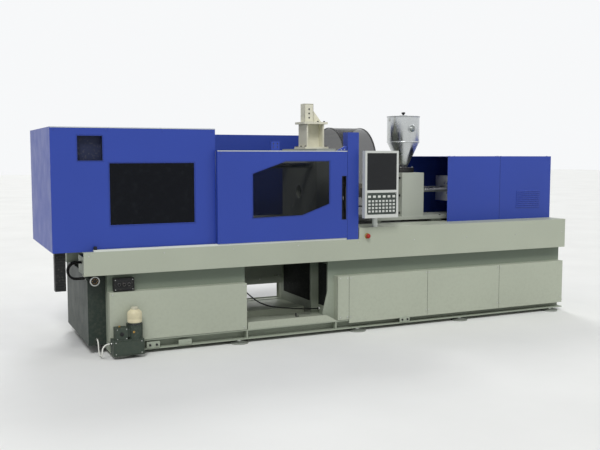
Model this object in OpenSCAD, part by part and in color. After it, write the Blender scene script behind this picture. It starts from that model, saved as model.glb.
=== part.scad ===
// Injection moulding machine with a double toggle clamp. Sizes are in millimetres and the floor is z = 0.
// x runs from the clamp end to the injection end, y from the operator side to the back, z is up.
// It is drawn at rest: clamp fully open, doors shut, barrel drawn back from the fixed platen.

/* [Machine] */
// Overall length over the end covers
machine_length = 5000; // [4900:20:5100]
// Half the width over the clamp covers
cover_half = 600; // [592:2:606]
// How far the doors, the fascias and the base covers stand out past the clamp covers
door_out = 50; // [48:1:60]
// Height of the common clamp and barrel axis
axis_z = 1230; // [1222:2:1236]
// Thickness of the sheet metal covers
sheet = 3; // [2.5:0.5:4]
// Top of the clamp covers
cover_top_z = 1787; // [1780:1:1800]

/* [Base] */
// Start of the bottom rails and of the clamp end base box
base_start = 410; // [400:5:430]
// Underside of the bottom rails
rail_low_z = 30; // [26:2:40]
// Height of the bottom rails
rail_h = 83; // [70:1:95]
// Top of the base covers
base_cover_top_z = 507; // [490:1:530]
// Top of the low rear base cover at the clamp end
rear_cover_z = 327; // [320:1:340]
// Underside of the top beams
beam_low_z = 640; // [630:5:650]
// Top of the top beams, which the clamp slides on
beam_top_z = 780; // [775:1:790]
// Wall of the base boxes and beams
base_wall = 10; // [8:1:14]
// Start of the open product bay
bay_start = 1560; // [1540:5:1580]
// End of the open product bay
bay_end = 2400; // [2380:5:2420]
// Top of the fascia bands
fascia_top_z = 830; // [828:1:840]
// Top of the raised deck at the injection end
deck_z = 930; // [926:1:935]
// Radius of a levelling pad
pad_r = 78; // [70:1:95]
// How far a pad's middle lies inside the outer face of the doors
pad_in = 30; // [25:1:60]

/* [Clamp] */
// Distance of each tie bar from the axis, across and up
bar_pitch = 265; // [260:1:270]
// Radius of a tie bar
bar_r = 40; // [36:1:42]
// Half the width of the platens
platen_half = 380; // [370:2:390]
// Thickness of the moving platen
moving_thick = 175; // [160:5:180]
// Thickness of the fixed platen
fixed_thick = 190; // [170:5:200]
// Mould face of the fixed platen
fixed_face = 2330; // [2320:5:2345]
// Thickness of the tailstock plate
tail_thick = 190; // [170:5:200]
// Front face of the tailstock plate
tail_face = 590; // [570:5:600]
// Radius of the locating bore in the fixed platen
locate_r = 60; // [50:1:65]
// Depth of the locating bore
locate_depth = 25; // [15:1:30]
// Distance between the mould bolt holes on a platen
bolt_pitch = 280; // [250:10:300]
// Radius of a mould bolt hole
bolt_r = 8; // [6:0.5:10]
// Play all round a tie bar in the platens
bar_play = 0.1; // [0.1:0.02:0.2]

/* [Toggle] */
// Tailstock pivot, measured along the machine
pivot_x = 930; // [925:1:935]
// Height of the outer pivots above the axis
pivot_h = 330; // [326:1:334]
// Length of a rear link
rear_link = 235; // [232:1:236]
// Length of a front link
front_link = 285; // [283:1:288]
// Angle that the rear links fold through
fold_deg = 98; // [96:1:98]
// Place of the third pivot on a rear link, along it
third_x = 150; // [148:1:152]
// Place of the third pivot on a rear link, beside it
third_z = 75; // [73:1:77]
// Length of a cross link
cross_link = 195; // [194:1:198]
// Height of a crosshead pivot above the axis
cross_h = 75; // [74:1:77]
// Radius of the large pins
pin_r = 24; // [20:1:26]
// Running play of a pin in its bore
pin_play = 0.05; // [0.03:0.01:0.1]
// Radius of a link eye
eye_r = 48; // [44:1:49]
// Radius of the clamp ball screw
clamp_screw_r = 25; // [20:1:27]
// Radius of a crosshead guide rod
rod_r = 20; // [16:1:22]
// Distance of a crosshead guide rod from the axis
rod_y = 130; // [128:1:135]
// Travel of the ejector plate
ejector_travel = 80; // [60:5:85]

/* [Doors and covers] */
// Start of the window in the clamp cover
clamp_window_x = 440; // [420:5:460]
// Length of the window in the clamp cover
clamp_window_w = 680; // [640:10:720]
// Underside of the window in the clamp cover
clamp_window_z = 1030; // [1010:5:1050]
// Height of the window in the clamp cover
clamp_window_h = 480; // [440:10:520]
// Length of the clamp covers on the operator side
cover_len = 1300; // [1290:2:1310]
// Right end of the doors
door_end = 2497; // [2490:1:2497]
// Top of the doors
door_top_z = 1610; // [1600:1:1630]
// Height of a door rail above the fascia
rail_step = 16; // [12:1:18]
// Height of a door pull
pull_h = 380; // [340:10:400]
// Width of a door pull
pull_w = 42; // [36:1:46]
// Width of a guard post
post_w = 110; // [100:1:118]
// Top of the guard posts
post_top_z = 1770; // [1760:1:1780]
// Depth of a door
door_deep = 44; // [38:1:46]
// Play under a door on its rail
door_play = 0.3; // [0.2:0.1:0.5]
// Thickness of a window pane
pane = 6; // [4:1:8]
// Depth of the grab pocket in the clamp cover
pocket_deep = 60; // [40:1:80]

/* [Injection] */
// Front end of the cover over the injection drive
unit_cover_x = 3720; // [3700:10:3760]
// Half the width of the cover over the injection drive
unit_cover_half = 420; // [400:5:440]
// Top of the cover over the injection drive
unit_cover_z = 1560; // [1550:5:1600]
// Tip of the nozzle when drawn back
nozzle_tip = 2640; // [2635:1:2650]
// Radius of the barrel
barrel_r = 55; // [50:1:58]
// Radius of the plasticising screw
screw_r = 20; // [18:0.5:22]
// Thickness of a heater band
band_t = 13; // [8:1:15]
// Front face of the hopper block
block_x = 3350; // [3345:5:3360]
// Length of the hopper block along the machine
block_len = 250; // [230:5:255]
// Front face of the pusher plate when drawn back
pusher_x = 4050; // [4040:5:4060]
// Front face of the rear drive plate
drive_x = 4350; // [4345:5:4360]
// Radius of the hopper
hopper_r = 160; // [140:2:165]
// Top of the hopper
hopper_top_z = 1950; // [1920:5:1980]
// Radius of an injection ball screw
inject_screw_r = 20; // [16:1:22]
// Half the width of the purge guard
guard_half = 330; // [325:1:340]

/* [Panel] */
// Width of the operating panel
panel_w = 340; // [320:2:350]
// Height of the operating panel
panel_h = 590; // [560:5:600]
// Underside of the operating panel
panel_low_z = 1020; // [1010:1:1030]
// Depth of the operating panel
panel_deep = 50; // [40:1:56]

/* [Part] */
// Which piece to draw

/* [Hidden] */
$fn = 64;

// Half the width over the doors, the fascias and the base covers.
door_half = cover_half + door_out;

// The part is centred over the origin: the lubrication unit is furthest to the front, the pads to the back.
lube_front = door_half + 115;
y_shift = (lube_front - door_half - pad_r + pad_in) / 2;

rail_top_z = rail_low_z + rail_h;
trunk_half = door_half - 75;
beam_in = 300;
base_end_half = trunk_half - 75;
rib_y = trunk_half - 300;
rear_window_z = rear_cover_z - 52;
tank_x = base_start + 180;
tank_y = 57 - lube_front;
ledge_y = 386 - trunk_half;
tray_w = bay_end - bay_start - 107;
tray_h = 61;
base_end = machine_length - 10;
cover_low_z = rail_top_z + 3;
slide_z = beam_top_z + 25;
bed_z = deck_z - 30;
bed_rail_z = bed_z + 22;
rail_y = 330;
bed_rail_y = 150;
post_x = door_end + 3;
stop_x = post_x + 200;
stop_z = fascia_top_z + 25;
rear_cover_end = cover_len + 80;
rear_fascia_z = fascia_top_z - 90;
pull_x = door_end - pull_w - 10;
pull_z = 1010;
deck_x = post_x + post_w + 10;
panel_x = deck_x + 5;
panel_face = door_half + 90;
arm_x = panel_x + panel_w / 2;
arm_y = 30 - door_half;
arm_top_z = panel_low_z + 70;

// Toggle pivots, from the tailstock pivot and the machine axis. The rear link is folded by fold_deg at rest.
knee_x = rear_link * cos(fold_deg);
knee_z = pivot_h - rear_link * sin(fold_deg);
open_x = knee_x + sqrt(pow(front_link, 2) - pow(pivot_h - knee_z, 2));
stroke = rear_link + front_link - open_x;
lift_deg = asin((pivot_h - knee_z) / front_link);
third_open_x = third_x * cos(fold_deg) - third_z * sin(fold_deg);
third_open_z = pivot_h - third_x * sin(fold_deg) - third_z * cos(fold_deg);
cross_open_x = third_open_x - sqrt(pow(cross_link, 2) - pow(third_open_z - cross_h, 2));
cross_deg = asin((third_open_z - cross_h) / cross_link);
cross_shut_x = third_x - sqrt(pow(cross_link, 2) - pow(pivot_h - third_z - cross_h, 2));

// Layers of the linkage across the machine: the front link in the middle, the rear link's plates beside it.
mid_half = 58;
plate_in = 60;
plate_out = 95;
tail_ear_in = 98;
tail_ear_out = 150;
platen_ear_in = 62;
platen_ear_out = 118;
cross_half = 30;
lug_in = 32;
lug_out = 57;
small_r = 35;
head_half = cross_h - small_r - 1;

ear_gap = 150;
wall_x = pivot_x + open_x + ear_gap;
mould_x = wall_x + moving_thick;
tail_back = tail_face - tail_thick;

// A block from its low and high corners.
module block(x0, x1, y0, y1, z0, z1) translate([x0, y0, z0]) cube([x1 - x0, y1 - y0, z1 - z0]);

// The same block on both sides of the machine.
module blocks(x0, x1, y0, y1, z0, z1) {
    block(x0, x1, y0, y1, z0, z1);
    block(x0, x1, -y1, -y0, z0, z1);
}

// A round bar along x, y or z.
module bar_x(x0, x1, y, z, r) translate([x0, y, z]) rotate([0, 90, 0]) cylinder(h = x1 - x0, r = r);
module bar_y(x, y0, y1, z, r) translate([x, y1, z]) rotate([90, 0, 0]) cylinder(h = y1 - y0, r = r);
module bar_z(x, y, z0, z1, r) translate([x, y, z0]) cylinder(h = z1 - z0, r = r);

// A flat shape drawn in x and z, given a thickness across the machine.
module side_plate(y0, y1) translate([0, y1, 0]) rotate([90, 0, 0]) linear_extrude(y1 - y0) children();

// Something repeated at the four tie bars.
module at_bars() {
    for (sy = [-1, 1]) {
        for (sz = [-1, 1]) translate([0, sy * bar_pitch, axis_z + sz * bar_pitch]) children();
    }
}

// Something drawn above the axis, and its mirror image below it.
module mirror_z() translate([0, 0, axis_z]) mirror([0, 0, 1]) translate([0, 0, -axis_z]) children();

// Moves the machine over the origin.
module place() translate([-machine_length / 2, y_shift, 0]) children();

// A sheet box that is open on one side of y: sy = -1 has its face to the front, 1 to the back.
module tray(x0, x1, z0, z1, face, depth, sy) {
    difference() {
        if (sy < 0) block(x0, x1, -face, -face + depth, z0, z1);
        else block(x0, x1, face - depth, face, z0, z1);
        if (sy < 0) block(x0 + sheet, x1 - sheet, -face + sheet, -face + depth + 1, z0 + sheet, z1 - sheet);
        else block(x0 + sheet, x1 - sheet, face - depth - 1, face - sheet, z0 + sheet, z1 - sheet);
    }
}

// One side of the base frame: a bottom rail, a top beam and a beam under the injection unit.
module base_side() {
    difference() {
        block(base_start, base_end, trunk_half - 15, door_half - 5, rail_low_z, rail_top_z);
        block(base_start - 1, base_end + 1, trunk_half, door_half, rail_low_z + 10, rail_top_z - 10);
    }
    difference() {
        block(240, base_end, beam_in, trunk_half, beam_low_z, beam_top_z);
        block(250, base_end - base_wall, beam_in + base_wall, trunk_half - base_wall,
            beam_low_z + base_wall, beam_top_z - base_wall);
    }
    difference() {
        block(deck_x, base_end, 90, 310, beam_top_z - 1, bed_z);
        block(deck_x + base_wall, base_end - base_wall, 90 + base_wall, 310 - base_wall,
            beam_top_z, bed_z - base_wall);
    }
}

module trunk(x0, x1) {
    difference() {
        block(x0, x1, -trunk_half, trunk_half, rail_low_z, beam_low_z + 1);
        block(x0 + base_wall, x1 - base_wall, base_wall - trunk_half, trunk_half - base_wall,
            rail_low_z + base_wall, beam_low_z - base_wall);
        block(x0 + 160, x1 - 160, -trunk_half - 1, trunk_half + 1, 190, 440);
    }
}

module base_frame() color([0.74, 0.75, 0.71]) place() {
    base_side();
    mirror([0, 1, 0]) base_side();
    trunk(base_start, bay_start);
    trunk(bay_end, base_end);
    block(bay_start - 1, bay_end + 1, 15 - trunk_half, 95 - trunk_half, rail_low_z, rail_top_z);
    block(bay_start - 1, bay_end + 1, trunk_half - 95, trunk_half - 15, rail_low_z, rail_top_z);
    block(tail_back, 560, -beam_in - 1, beam_in + 1, beam_low_z, beam_top_z);
    block(bay_start, 1640, -beam_in - 1, beam_in + 1, beam_low_z, beam_top_z);
    block(fixed_face, deck_x + 80, -beam_in - 1, beam_in + 1, beam_low_z, beam_top_z);
    for (x = [deck_x + 680, deck_x + 1480, base_end - 140])
        block(x, x + 90, -beam_in - 1, beam_in + 1, beam_low_z, beam_top_z);
    for (x = [bay_start - 12, bay_end - 12])
        blocks(x, x + 12, trunk_half - 1, door_half - 6, rail_low_z + 9, rail_top_z - 9);
    block(bay_end - 70, bay_end + 1, -rib_y, 18 - rib_y, rail_top_z - 1, beam_low_z + 1);
    side_plate(-trunk_half, 12 - trunk_half)
        polygon([[bay_end + 1, rail_top_z - 1], [bay_end + 1, beam_low_z + 1], [bay_end - 55, beam_low_z + 1],
            [bay_end - 55, 370], [bay_end - 105, 175], [bay_end - 105, rail_top_z - 1]]);
    block(bay_start - 1, bay_end + 1, trunk_half - base_wall, trunk_half, rear_window_z + 5, beam_low_z + 1);
}

module levelling_pads() color([0.42, 0.43, 0.42]) place() {
    for (x = [base_start + 90, bay_start - 70, bay_end + 220, (bay_end + base_end + 80) / 2,
        base_end - 140]) {
        for (y = [-1, 1]) translate([x, y * (door_half - pad_in), 0]) {
            cylinder(h = 13, r = pad_r);
            translate([0, 0, 12]) cylinder(h = 9, r1 = pad_r - 6, r2 = 38);
            cylinder(h = rail_low_z, r = 14);
        }
    }
}

module base_covers() color([0.8, 0.81, 0.77]) place() {
    tray(base_start, bay_start - 10, cover_low_z, base_cover_top_z, door_half, 75, -1);
    tray(bay_end + 10, base_end - 10, cover_low_z, base_cover_top_z, door_half, 75, -1);
    block(bay_end + 120, base_end - 10, -door_half, sheet - door_half, cover_low_z - 34, cover_low_z + 1);
    difference() {
        union() {
            tray(base_start, bay_end, cover_low_z, rear_cover_z, door_half, 75, 1);
            block(bay_start + 40, bay_end, door_half - sheet, door_half, rear_cover_z - 1, rear_cover_z + 88);
            block(bay_start - 100, bay_start + 41, door_half - sheet, door_half,
                rear_cover_z - 1, rear_cover_z + 18);
        }
        block(bay_start + 10, bay_end - 20, door_half - 10, door_half + 1, rail_top_z + 17, rear_window_z);
        block(base_start + 575, base_start + 650, door_half - 10, door_half + 1, 140, 220);
        for (x = [575, 650]) bar_y(base_start + x, door_half - 10, door_half + 1, 180, 40);
    }
    tray(bay_end + 10, base_end - 10, cover_low_z, base_cover_top_z, door_half, 75, 1);
}

// One fascia band with its lips, then the raised part and the deck behind it.
module fascia(x0, low_z) {
    difference() {
        block(x0, machine_length, trunk_half, door_half, low_z, fascia_top_z);
        block(x0 - 1, machine_length - sheet, trunk_half - 1, door_half - sheet,
            low_z + sheet, fascia_top_z - sheet);
    }
    difference() {
        block(deck_x, machine_length, 310, door_half, fascia_top_z - 1, deck_z);
        block(deck_x + sheet, machine_length - sheet, 309, door_half - sheet,
            fascia_top_z - 2, deck_z - sheet);
    }
}

module base_fascias() color([0.8, 0.81, 0.77]) place() {
    difference() {
        union() {
            mirror([0, 1, 0]) fascia(220, beam_low_z + 7);
            bar_y(stop_x, -door_half - 6, 1 - door_half, stop_z, 17);
        }
        bar_y(stop_x, -door_half - 10, 10 - door_half, stop_z, 10.5);
    }
    fascia(rear_cover_end + 4, rear_fascia_z);
    bar_x(deck_x + 50, deck_x + 330, guard_half + 8, deck_z + 10, 4);
    for (x = [deck_x + 46, deck_x + 322])
        block(x, x + 12, guard_half + 4, guard_half + 16, deck_z - 1, deck_z + 14);
    block(rear_cover_end + 4, bay_start - 20, door_half - sheet, door_half,
        rear_fascia_z - 70, rear_fascia_z + 1);
    block(machine_length - sheet, machine_length, 1 - door_half, door_half - 1, rear_fascia_z, deck_z);
}

module drop_tray() color([0.78, 0.79, 0.76]) place() {
    block(bay_start + 2, bay_end - 106, 6 - door_half, trunk_half - 100, rail_top_z, rail_top_z + 3);
    block(bay_end - 107, bay_end - 2, 13 - trunk_half, -rib_y - 1, rail_top_z, rail_top_z + 3);
    block(bay_end - 107, bay_end - 2, 19 - rib_y, trunk_half - 100, rail_top_z, rail_top_z + 3);
    block(bay_end - 107, bay_end - 72, -rib_y - 2, 20 - rib_y, rail_top_z, rail_top_z + 3);
    side_plate(6 - door_half, 9 - door_half) polygon([[bay_start + 2, rail_top_z], [bay_end + 8, rail_top_z],
        [bay_start + 2 + tray_w, rail_top_z + tray_h], [bay_start + 2, rail_top_z + tray_h]]);
    block(bay_start + 2, bay_end - 107, ledge_y, ledge_y + 150, rail_top_z + tray_h - 3, rail_top_z + tray_h);
    block(bay_start + 2, bay_end - 107, ledge_y, ledge_y + 3, rail_top_z + 2, rail_top_z + tray_h);
    block(bay_start + 2, bay_end - 107, ledge_y + 147, ledge_y + 150, rail_top_z + 2, rail_top_z + tray_h);
    block(bay_start + 2, bay_start + 5, 8 - door_half, trunk_half - 100, rail_top_z + 2, rail_top_z + 30);
}

module base_end_panel() color([0.13, 0.14, 0.14]) place() difference() {
    block(base_start - 140, base_start, -base_end_half, base_end_half, 70, beam_low_z);
    block(base_start - 140 + sheet, base_start + 1, sheet - base_end_half, base_end_half - sheet,
        70 + sheet, beam_low_z - sheet);
}

module lube_tank() color([0.88, 0.84, 0.7]) place() {
    bar_z(tank_x, tank_y, 276, 358, 57);
    translate([tank_x, tank_y, 357]) cylinder(h = 20, r1 = 57, r2 = 34);
    bar_z(tank_x, tank_y, 376, 396, 26);
}

module lube_pump() color([0.22, 0.23, 0.23]) place() {
    bar_z(tank_x, tank_y, 262, 276, 56);
    bar_z(tank_x, tank_y, 144, 263, 50);
    block(tank_x - 55, tank_x + 62, tank_y + 5, -door_half, 149, 263);
    block(tank_x - 155, tank_x - 64, -door_half - 96, -door_half, 149, 241);
    block(tank_x - 66, tank_x - 40, -door_half - 80, -door_half, 165, 225);
    block(tank_x - 180, tank_x + 60, -door_half - 112, -door_half, 28, 150);
}

// A round tube of radius r through given points, each with the direction the tube has there.
function unit(v) = v / norm(v);
function heading(p, i) = unit(p[min(i + 1, len(p) - 1)] - p[max(i - 1, 0)]);
function side_of(d) = unit(cross(d, [0.12, 0.31, 0.94]));
module tube(p, r, sides = 10) {
    n = len(p);
    pts = [for (i = [0:n - 1])
        let (d = heading(p, i), u = side_of(d), v = cross(d, u))
        for (k = [0:sides - 1]) p[i] + r * (u * cos(360 * k / sides) + v * sin(360 * k / sides))];
    walls = [for (i = [0:n - 2])
        for (k = [0:sides - 1])
        let (a = i * sides + k, b = i * sides + (k + 1) % sides) [a, b, b + sides, a + sides]];
    polyhedron(points = pts, faces = concat([for (w = walls) [w[3], w[2], w[1], w[0]]],
        [[for (k = [0:sides - 1]) k], [for (k = [sides - 1:-1:0]) (n - 1) * sides + k]]));
}

module lube_hose() color([0.85, 0.85, 0.82]) place() translate([base_start - 75, -door_half - 60, 0])
    tube([[75, 0, 120], [62, 0, 120], [50, 0, 120], [31, 0, 116], [15, 0, 105], [4, 0, 89],
    [0, 0, 70], [0, 4, 51], [0, 15, 35], [0, 31, 24], [0, 50, 20], [0, 75, 20], [0, 100, 20],
    [0, 119, 24], [0, 135, 35], [0, 146, 51], [0, 150, 70], [0, 154, 89], [0, 165, 105],
    [0, 181, 116], [0, 200, 120], [0, 210, 120]], 5);

module bay_cable() color([0.1, 0.1, 0.1]) place() translate([bay_start, 245 - trunk_half, 0])
    tube([[0, 0, 420], [18, 0, 420], [36, 0, 417], [58, 0, 408], [84, 1, 391], [112, 2, 368],
    [142, 3, 341], [176, 4, 312], [214, 6, 284], [256, 8, 260], [303, 10, 240], [355, 13, 224],
    [411, 16, 211], [470, 19, 201], [531, 22, 192], [592, 25, 184], [651, 27, 177], [706, 29, 171],
    [757, 30, 167], [800, 30, 165], [bay_end - bay_start, 30, 165]], 6);

module socket_boxes() color([0.12, 0.12, 0.13]) place() {
    bar_y(base_start - 90, -base_end_half - 45, -base_end_half, 590, 40);
    block(450, 610, -trunk_half - 55, -trunk_half, 512, 612);
}

module cable_duct() color([0.1, 0.1, 0.11]) place()
    block(20, 100, 40 - cover_half, 110 - cover_half, 530, fascia_top_z);

module hose_loops() color([0.12, 0.12, 0.12]) place() {
    for (y = [135 - trunk_half, 175 - trunk_half]) {
        bar_x(200, 240, y, 730, 9);
        bar_x(200, base_start - 140, y, 600, 9);
        translate([200, y, 665]) rotate([90, 0, 0]) rotate([0, 0, 90])
            rotate_extrude(angle = 180) translate([65, 0]) circle(r = 9, $fn = 32);
    }
}

module door_rails() color([0.82, 0.83, 0.8]) place()
    blocks(300, door_end, cover_half + 8, door_half - 6, fascia_top_z, fascia_top_z + rail_step);

module guide_rails() color([0.62, 0.63, 0.63]) place() {
    blocks(300, fixed_face - 10, rail_y - 20, rail_y + 20, beam_top_z, slide_z);
    blocks(2700, base_end - 30, bed_rail_y - 17, bed_rail_y + 17, bed_z, bed_rail_z);
}

// Mould bolt holes in a platen face: two rows of four at the sides and one above and below the middle.
module bolt_holes(x, depth) {
    for (y = [-1, 1]) {
        for (z = [-1, 1]) {
            bar_x(x, x + depth, y * bolt_pitch / 2, axis_z + z * bolt_pitch / 2, bolt_r);
            bar_x(x, x + depth, y * (platen_half - 50), axis_z + z * 60, bolt_r);
            bar_x(x, x + depth, y * 60, axis_z + z * (platen_half - 50), bolt_r);
        }
    }
}

module fixed_platen() color([0.8, 0.81, 0.78]) place() difference() {
    union() {
        block(fixed_face, fixed_face + fixed_thick, -platen_half, platen_half, axis_z - 400, axis_z + 400);
        blocks(fixed_face, fixed_face + fixed_thick, 250, platen_half, beam_top_z, axis_z - 399);
    }
    at_bars() bar_x(fixed_face - 1, fixed_face + fixed_thick + 1, 0, 0, bar_r + bar_play);
    bar_x(fixed_face - 1, fixed_face + locate_depth, 0, axis_z, locate_r);
    bar_x(fixed_face + 20, fixed_face + 90, 0, axis_z, 42);
    bar_x(fixed_face + 85, fixed_face + fixed_thick + 1, 0, axis_z, 105);
    bolt_holes(fixed_face - 1, 40);
}

module tie_bars() color([0.75, 0.76, 0.77]) place() at_bars()
    bar_x(255, fixed_face + fixed_thick + 62, 0, 0, bar_r);

module tie_bar_nuts() color([0.35, 0.36, 0.37]) place() at_bars() difference() {
    bar_x(fixed_face + fixed_thick, fixed_face + fixed_thick + 55, 0, 0, 64);
    bar_x(fixed_face + fixed_thick - 1, fixed_face + fixed_thick + 56, 0, 0, bar_r + bar_play);
}

module clamp_cover_front() color([0.18, 0.25, 0.62]) place() difference() {
    union() {
        difference() {
            block(0, cover_len, -cover_half, -cover_half + 25, fascia_top_z, cover_top_z);
            block(sheet, cover_len - sheet, sheet - cover_half, 26 - cover_half,
                fascia_top_z + sheet, cover_top_z - sheet);
        }
        block(197, 393, 1 - cover_half, pocket_deep - cover_half, 1527, 1723);
    }
    block(200, 390, -cover_half - 1, pocket_deep - sheet - cover_half, 1530, 1720);
    block(clamp_window_x, clamp_window_x + clamp_window_w, -cover_half - 1, 10 - cover_half,
        clamp_window_z, clamp_window_z + clamp_window_h);
}

module clamp_window() color([0.05, 0.06, 0.07, 0.6]) place()
    block(clamp_window_x - 15, clamp_window_x + clamp_window_w + 15, sheet - cover_half,
        sheet + pane - cover_half, clamp_window_z - 15, clamp_window_z + clamp_window_h + 14);

module clamp_cover_top() color([0.18, 0.25, 0.62]) place()
    block(sheet, cover_len, 25 - cover_half, cover_half - 25, cover_top_z - sheet, cover_top_z);

module clamp_cover_end() color([0.18, 0.25, 0.62]) place() difference() {
    block(0, 120, 25 - cover_half, cover_half - 25, fascia_top_z, cover_top_z - sheet);
    block(sheet, 121, 25 + sheet - cover_half, cover_half - 25 - sheet, fascia_top_z + sheet, cover_top_z);
}

module clamp_cover_rear() color([0.18, 0.25, 0.62]) place() {
    difference() {
        block(0, rear_cover_end, cover_half - 25, cover_half, fascia_top_z, cover_top_z);
        block(sheet, rear_cover_end - sheet, cover_half - 26, cover_half - sheet,
            fascia_top_z + sheet, cover_top_z - sheet);
    }
    block(400, rear_cover_end, cover_half - sheet, cover_half, 700, fascia_top_z + 1);
    block(400, rear_cover_end, trunk_half, cover_half - 1, 700, 703);
}

module guard_posts() color([0.18, 0.25, 0.62]) place() {
    difference() {
        block(post_x, post_x + post_w, -door_half, 90 - door_half, fascia_top_z, post_top_z);
        block(post_x + sheet, post_x + post_w - sheet, sheet - door_half, 87 - door_half,
            fascia_top_z - 1, post_top_z - sheet);
    }
    difference() {
        block(post_x, post_x + post_w, door_half - 90, door_half, fascia_top_z, post_top_z);
        block(post_x + sheet, post_x + post_w - sheet, door_half - 87, door_half - sheet,
            fascia_top_z - 1, post_top_z - sheet);
    }
    difference() {
        block(rear_cover_end, post_x + 1, cover_half - 40, cover_half, door_top_z, post_top_z);
        block(rear_cover_end - 1, post_x + 2, cover_half - 37, cover_half - sheet,
            door_top_z + sheet, post_top_z - sheet);
    }
    block(rear_cover_end, rear_cover_end + 20, cover_half - 40, cover_half, fascia_top_z, door_top_z + 1);
}

module robot_riser() color([0.86, 0.84, 0.74]) place() {
    top = axis_z + 400;
    x = fixed_face + 10;
    block(x, x + 240, -120, 120, top, top + 20);
    block(x + 30, x + 45, -90, 90, top + 19, top + 231);
    block(x + 195, x + 210, -90, 90, top + 19, top + 231);
    block(x + 40, x + 200, -8, 8, top + 19, top + 231);
    block(x, x + 240, -105, 105, top + 230, top + 250);
    block(x + 30, x + 120, -45, 45, top + 249, top + 420);
    side_plate(-8, 8) polygon([[x + 119, top + 249], [x + 225, top + 249], [x + 119, top + 380]]);
}

module tail_ear(y0, y1) side_plate(y0, y1) {
    translate([pivot_x, axis_z + pivot_h]) circle(r = eye_r + 4);
    translate([tail_face - 1, axis_z + pivot_h - eye_r]) square([pivot_x - tail_face + 1, 2 * eye_r]);
}

module tailstock() color([0.8, 0.81, 0.78]) place() difference() {
    union() {
        block(tail_back, tail_face, -platen_half, platen_half, axis_z - 384, axis_z + 384);
        blocks(tail_back, tail_face, rail_y - 40, rail_y + 40, slide_z, axis_z - 383);
        tail_ear(tail_ear_in, tail_ear_out);
        tail_ear(-tail_ear_out, -tail_ear_in);
        mirror_z() tail_ear(tail_ear_in, tail_ear_out);
        mirror_z() tail_ear(-tail_ear_out, -tail_ear_in);
    }
    at_bars() bar_x(tail_back - 1, tail_face + 1, 0, 0, bar_r + bar_play);
    bar_x(tail_back - 1, tail_face + 1, 0, axis_z, clamp_screw_r + 15);
    for (z = [-1, 1])
        bar_y(pivot_x, -tail_ear_out - 1, tail_ear_out + 1, axis_z + z * pivot_h, pin_r + pin_play);
    bar_x(tail_back - 1, tail_face + 1, 311, axis_z, 14);
}

// The nuts turn on the tie bars' threads to set the mould height, all driven by one chain.
module mould_height_drive() color([0.4, 0.41, 0.42]) place() {
    at_bars() difference() {
        union() {
            bar_x(tail_back - 60, tail_back, 0, 0, 60);
            bar_x(tail_back - 52, tail_back - 44, 0, 0, 74);
        }
        bar_x(tail_back - 61, tail_back + 1, 0, 0, bar_r + 0.3);
    }
    translate([tail_back - 52, 0, axis_z]) rotate([90, 0, 90]) linear_extrude(8) difference() {
        chain_loop(79);
        chain_loop(75);
    }
    bar_x(tail_back - 52, tail_face + 1, 311, axis_z, 12);
    bar_x(tail_back - 52, tail_back - 44, 311, axis_z, 28);
    bar_x(tail_face, tail_face + 130, 311, axis_z, 45);
}

module chain_loop(r) {
    for (y = [-1, 1]) {
        for (z = [-1, 1]) translate([y * bar_pitch, z * bar_pitch]) circle(r = r);
    }
    square([2 * bar_pitch + 2 * r, 2 * bar_pitch], center = true);
    square([2 * bar_pitch, 2 * bar_pitch + 2 * r], center = true);
}

module race(r) {
    circle(r = r);
    translate([0, -240]) circle(r = r);
    translate([-r, -240]) square([2 * r, 240]);
}

module clamp_drive() color([0.2, 0.2, 0.21]) place() {
    bar_x(tail_back - 62, pivot_x + cross_shut_x + 75, 0, axis_z, clamp_screw_r);
    bar_x(tail_back - 62, tail_back - 22, 0, axis_z, 84);
    bar_x(tail_back - 20, tail_back, 0, axis_z, 60);
    bar_x(tail_back - 21, tail_back - 19, 0, axis_z, 40);
    translate([tail_back - 60, 0, axis_z]) rotate([90, 0, 90]) linear_extrude(36) difference() {
        race(90);
        race(84.5);
    }
    bar_x(tail_back - 62, tail_back - 22, 0, axis_z - 240, 84);
    bar_x(tail_back - 230, tail_back - 61, 0, axis_z - 240, 70);
    bar_x(tail_back - 23, tail_back, 0, axis_z - 240, 34);
}

module guide_rods() color([0.75, 0.76, 0.77]) place()
    for (y = [-1, 1]) bar_x(tail_face, pivot_x + cross_shut_x + 75, y * rod_y, axis_z, rod_r);

module anchor_pins() color([0.3, 0.3, 0.31]) place()
    for (z = [-1, 1]) {
        bar_y(pivot_x, -tail_ear_out - 6, tail_ear_out + 6, axis_z + z * pivot_h, pin_r);
        bar_y(pivot_x, tail_ear_out, tail_ear_out + 12, axis_z + z * pivot_h, pin_r + 8);
        bar_y(pivot_x, -tail_ear_out - 12, -tail_ear_out, axis_z + z * pivot_h, pin_r + 8);
    }

module crosshead() color([0.55, 0.56, 0.57]) place() {
    x = pivot_x + cross_open_x;
    difference() {
        union() {
            block(x - 48, x + 48, -rod_y - 34, rod_y + 34, axis_z - head_half, axis_z + head_half);
            for (z = [-1, 1]) for (y = [-1, 1]) lug(x, y, z);
        }
        bar_x(x - 50, x + 50, 0, axis_z, clamp_screw_r + 0.4);
        for (y = [-1, 1]) bar_x(x - 50, x + 50, y * rod_y, axis_z, rod_r + 0.08);
    }
    for (z = [-1, 1]) bar_y(x, -lug_out, lug_out, axis_z + z * cross_h, 18);
}

module lug(x, y, z) {
    y0 = y > 0 ? lug_in : -lug_out;
    bar_y(x, y0, y0 + lug_out - lug_in, axis_z + z * cross_h, small_r);
    z0 = z > 0 ? axis_z + head_half - 1 : axis_z - cross_h;
    block(x - small_r, x + small_r, y0, y0 + lug_out - lug_in, z0, z0 + cross_h - head_half + 1);
}

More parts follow.
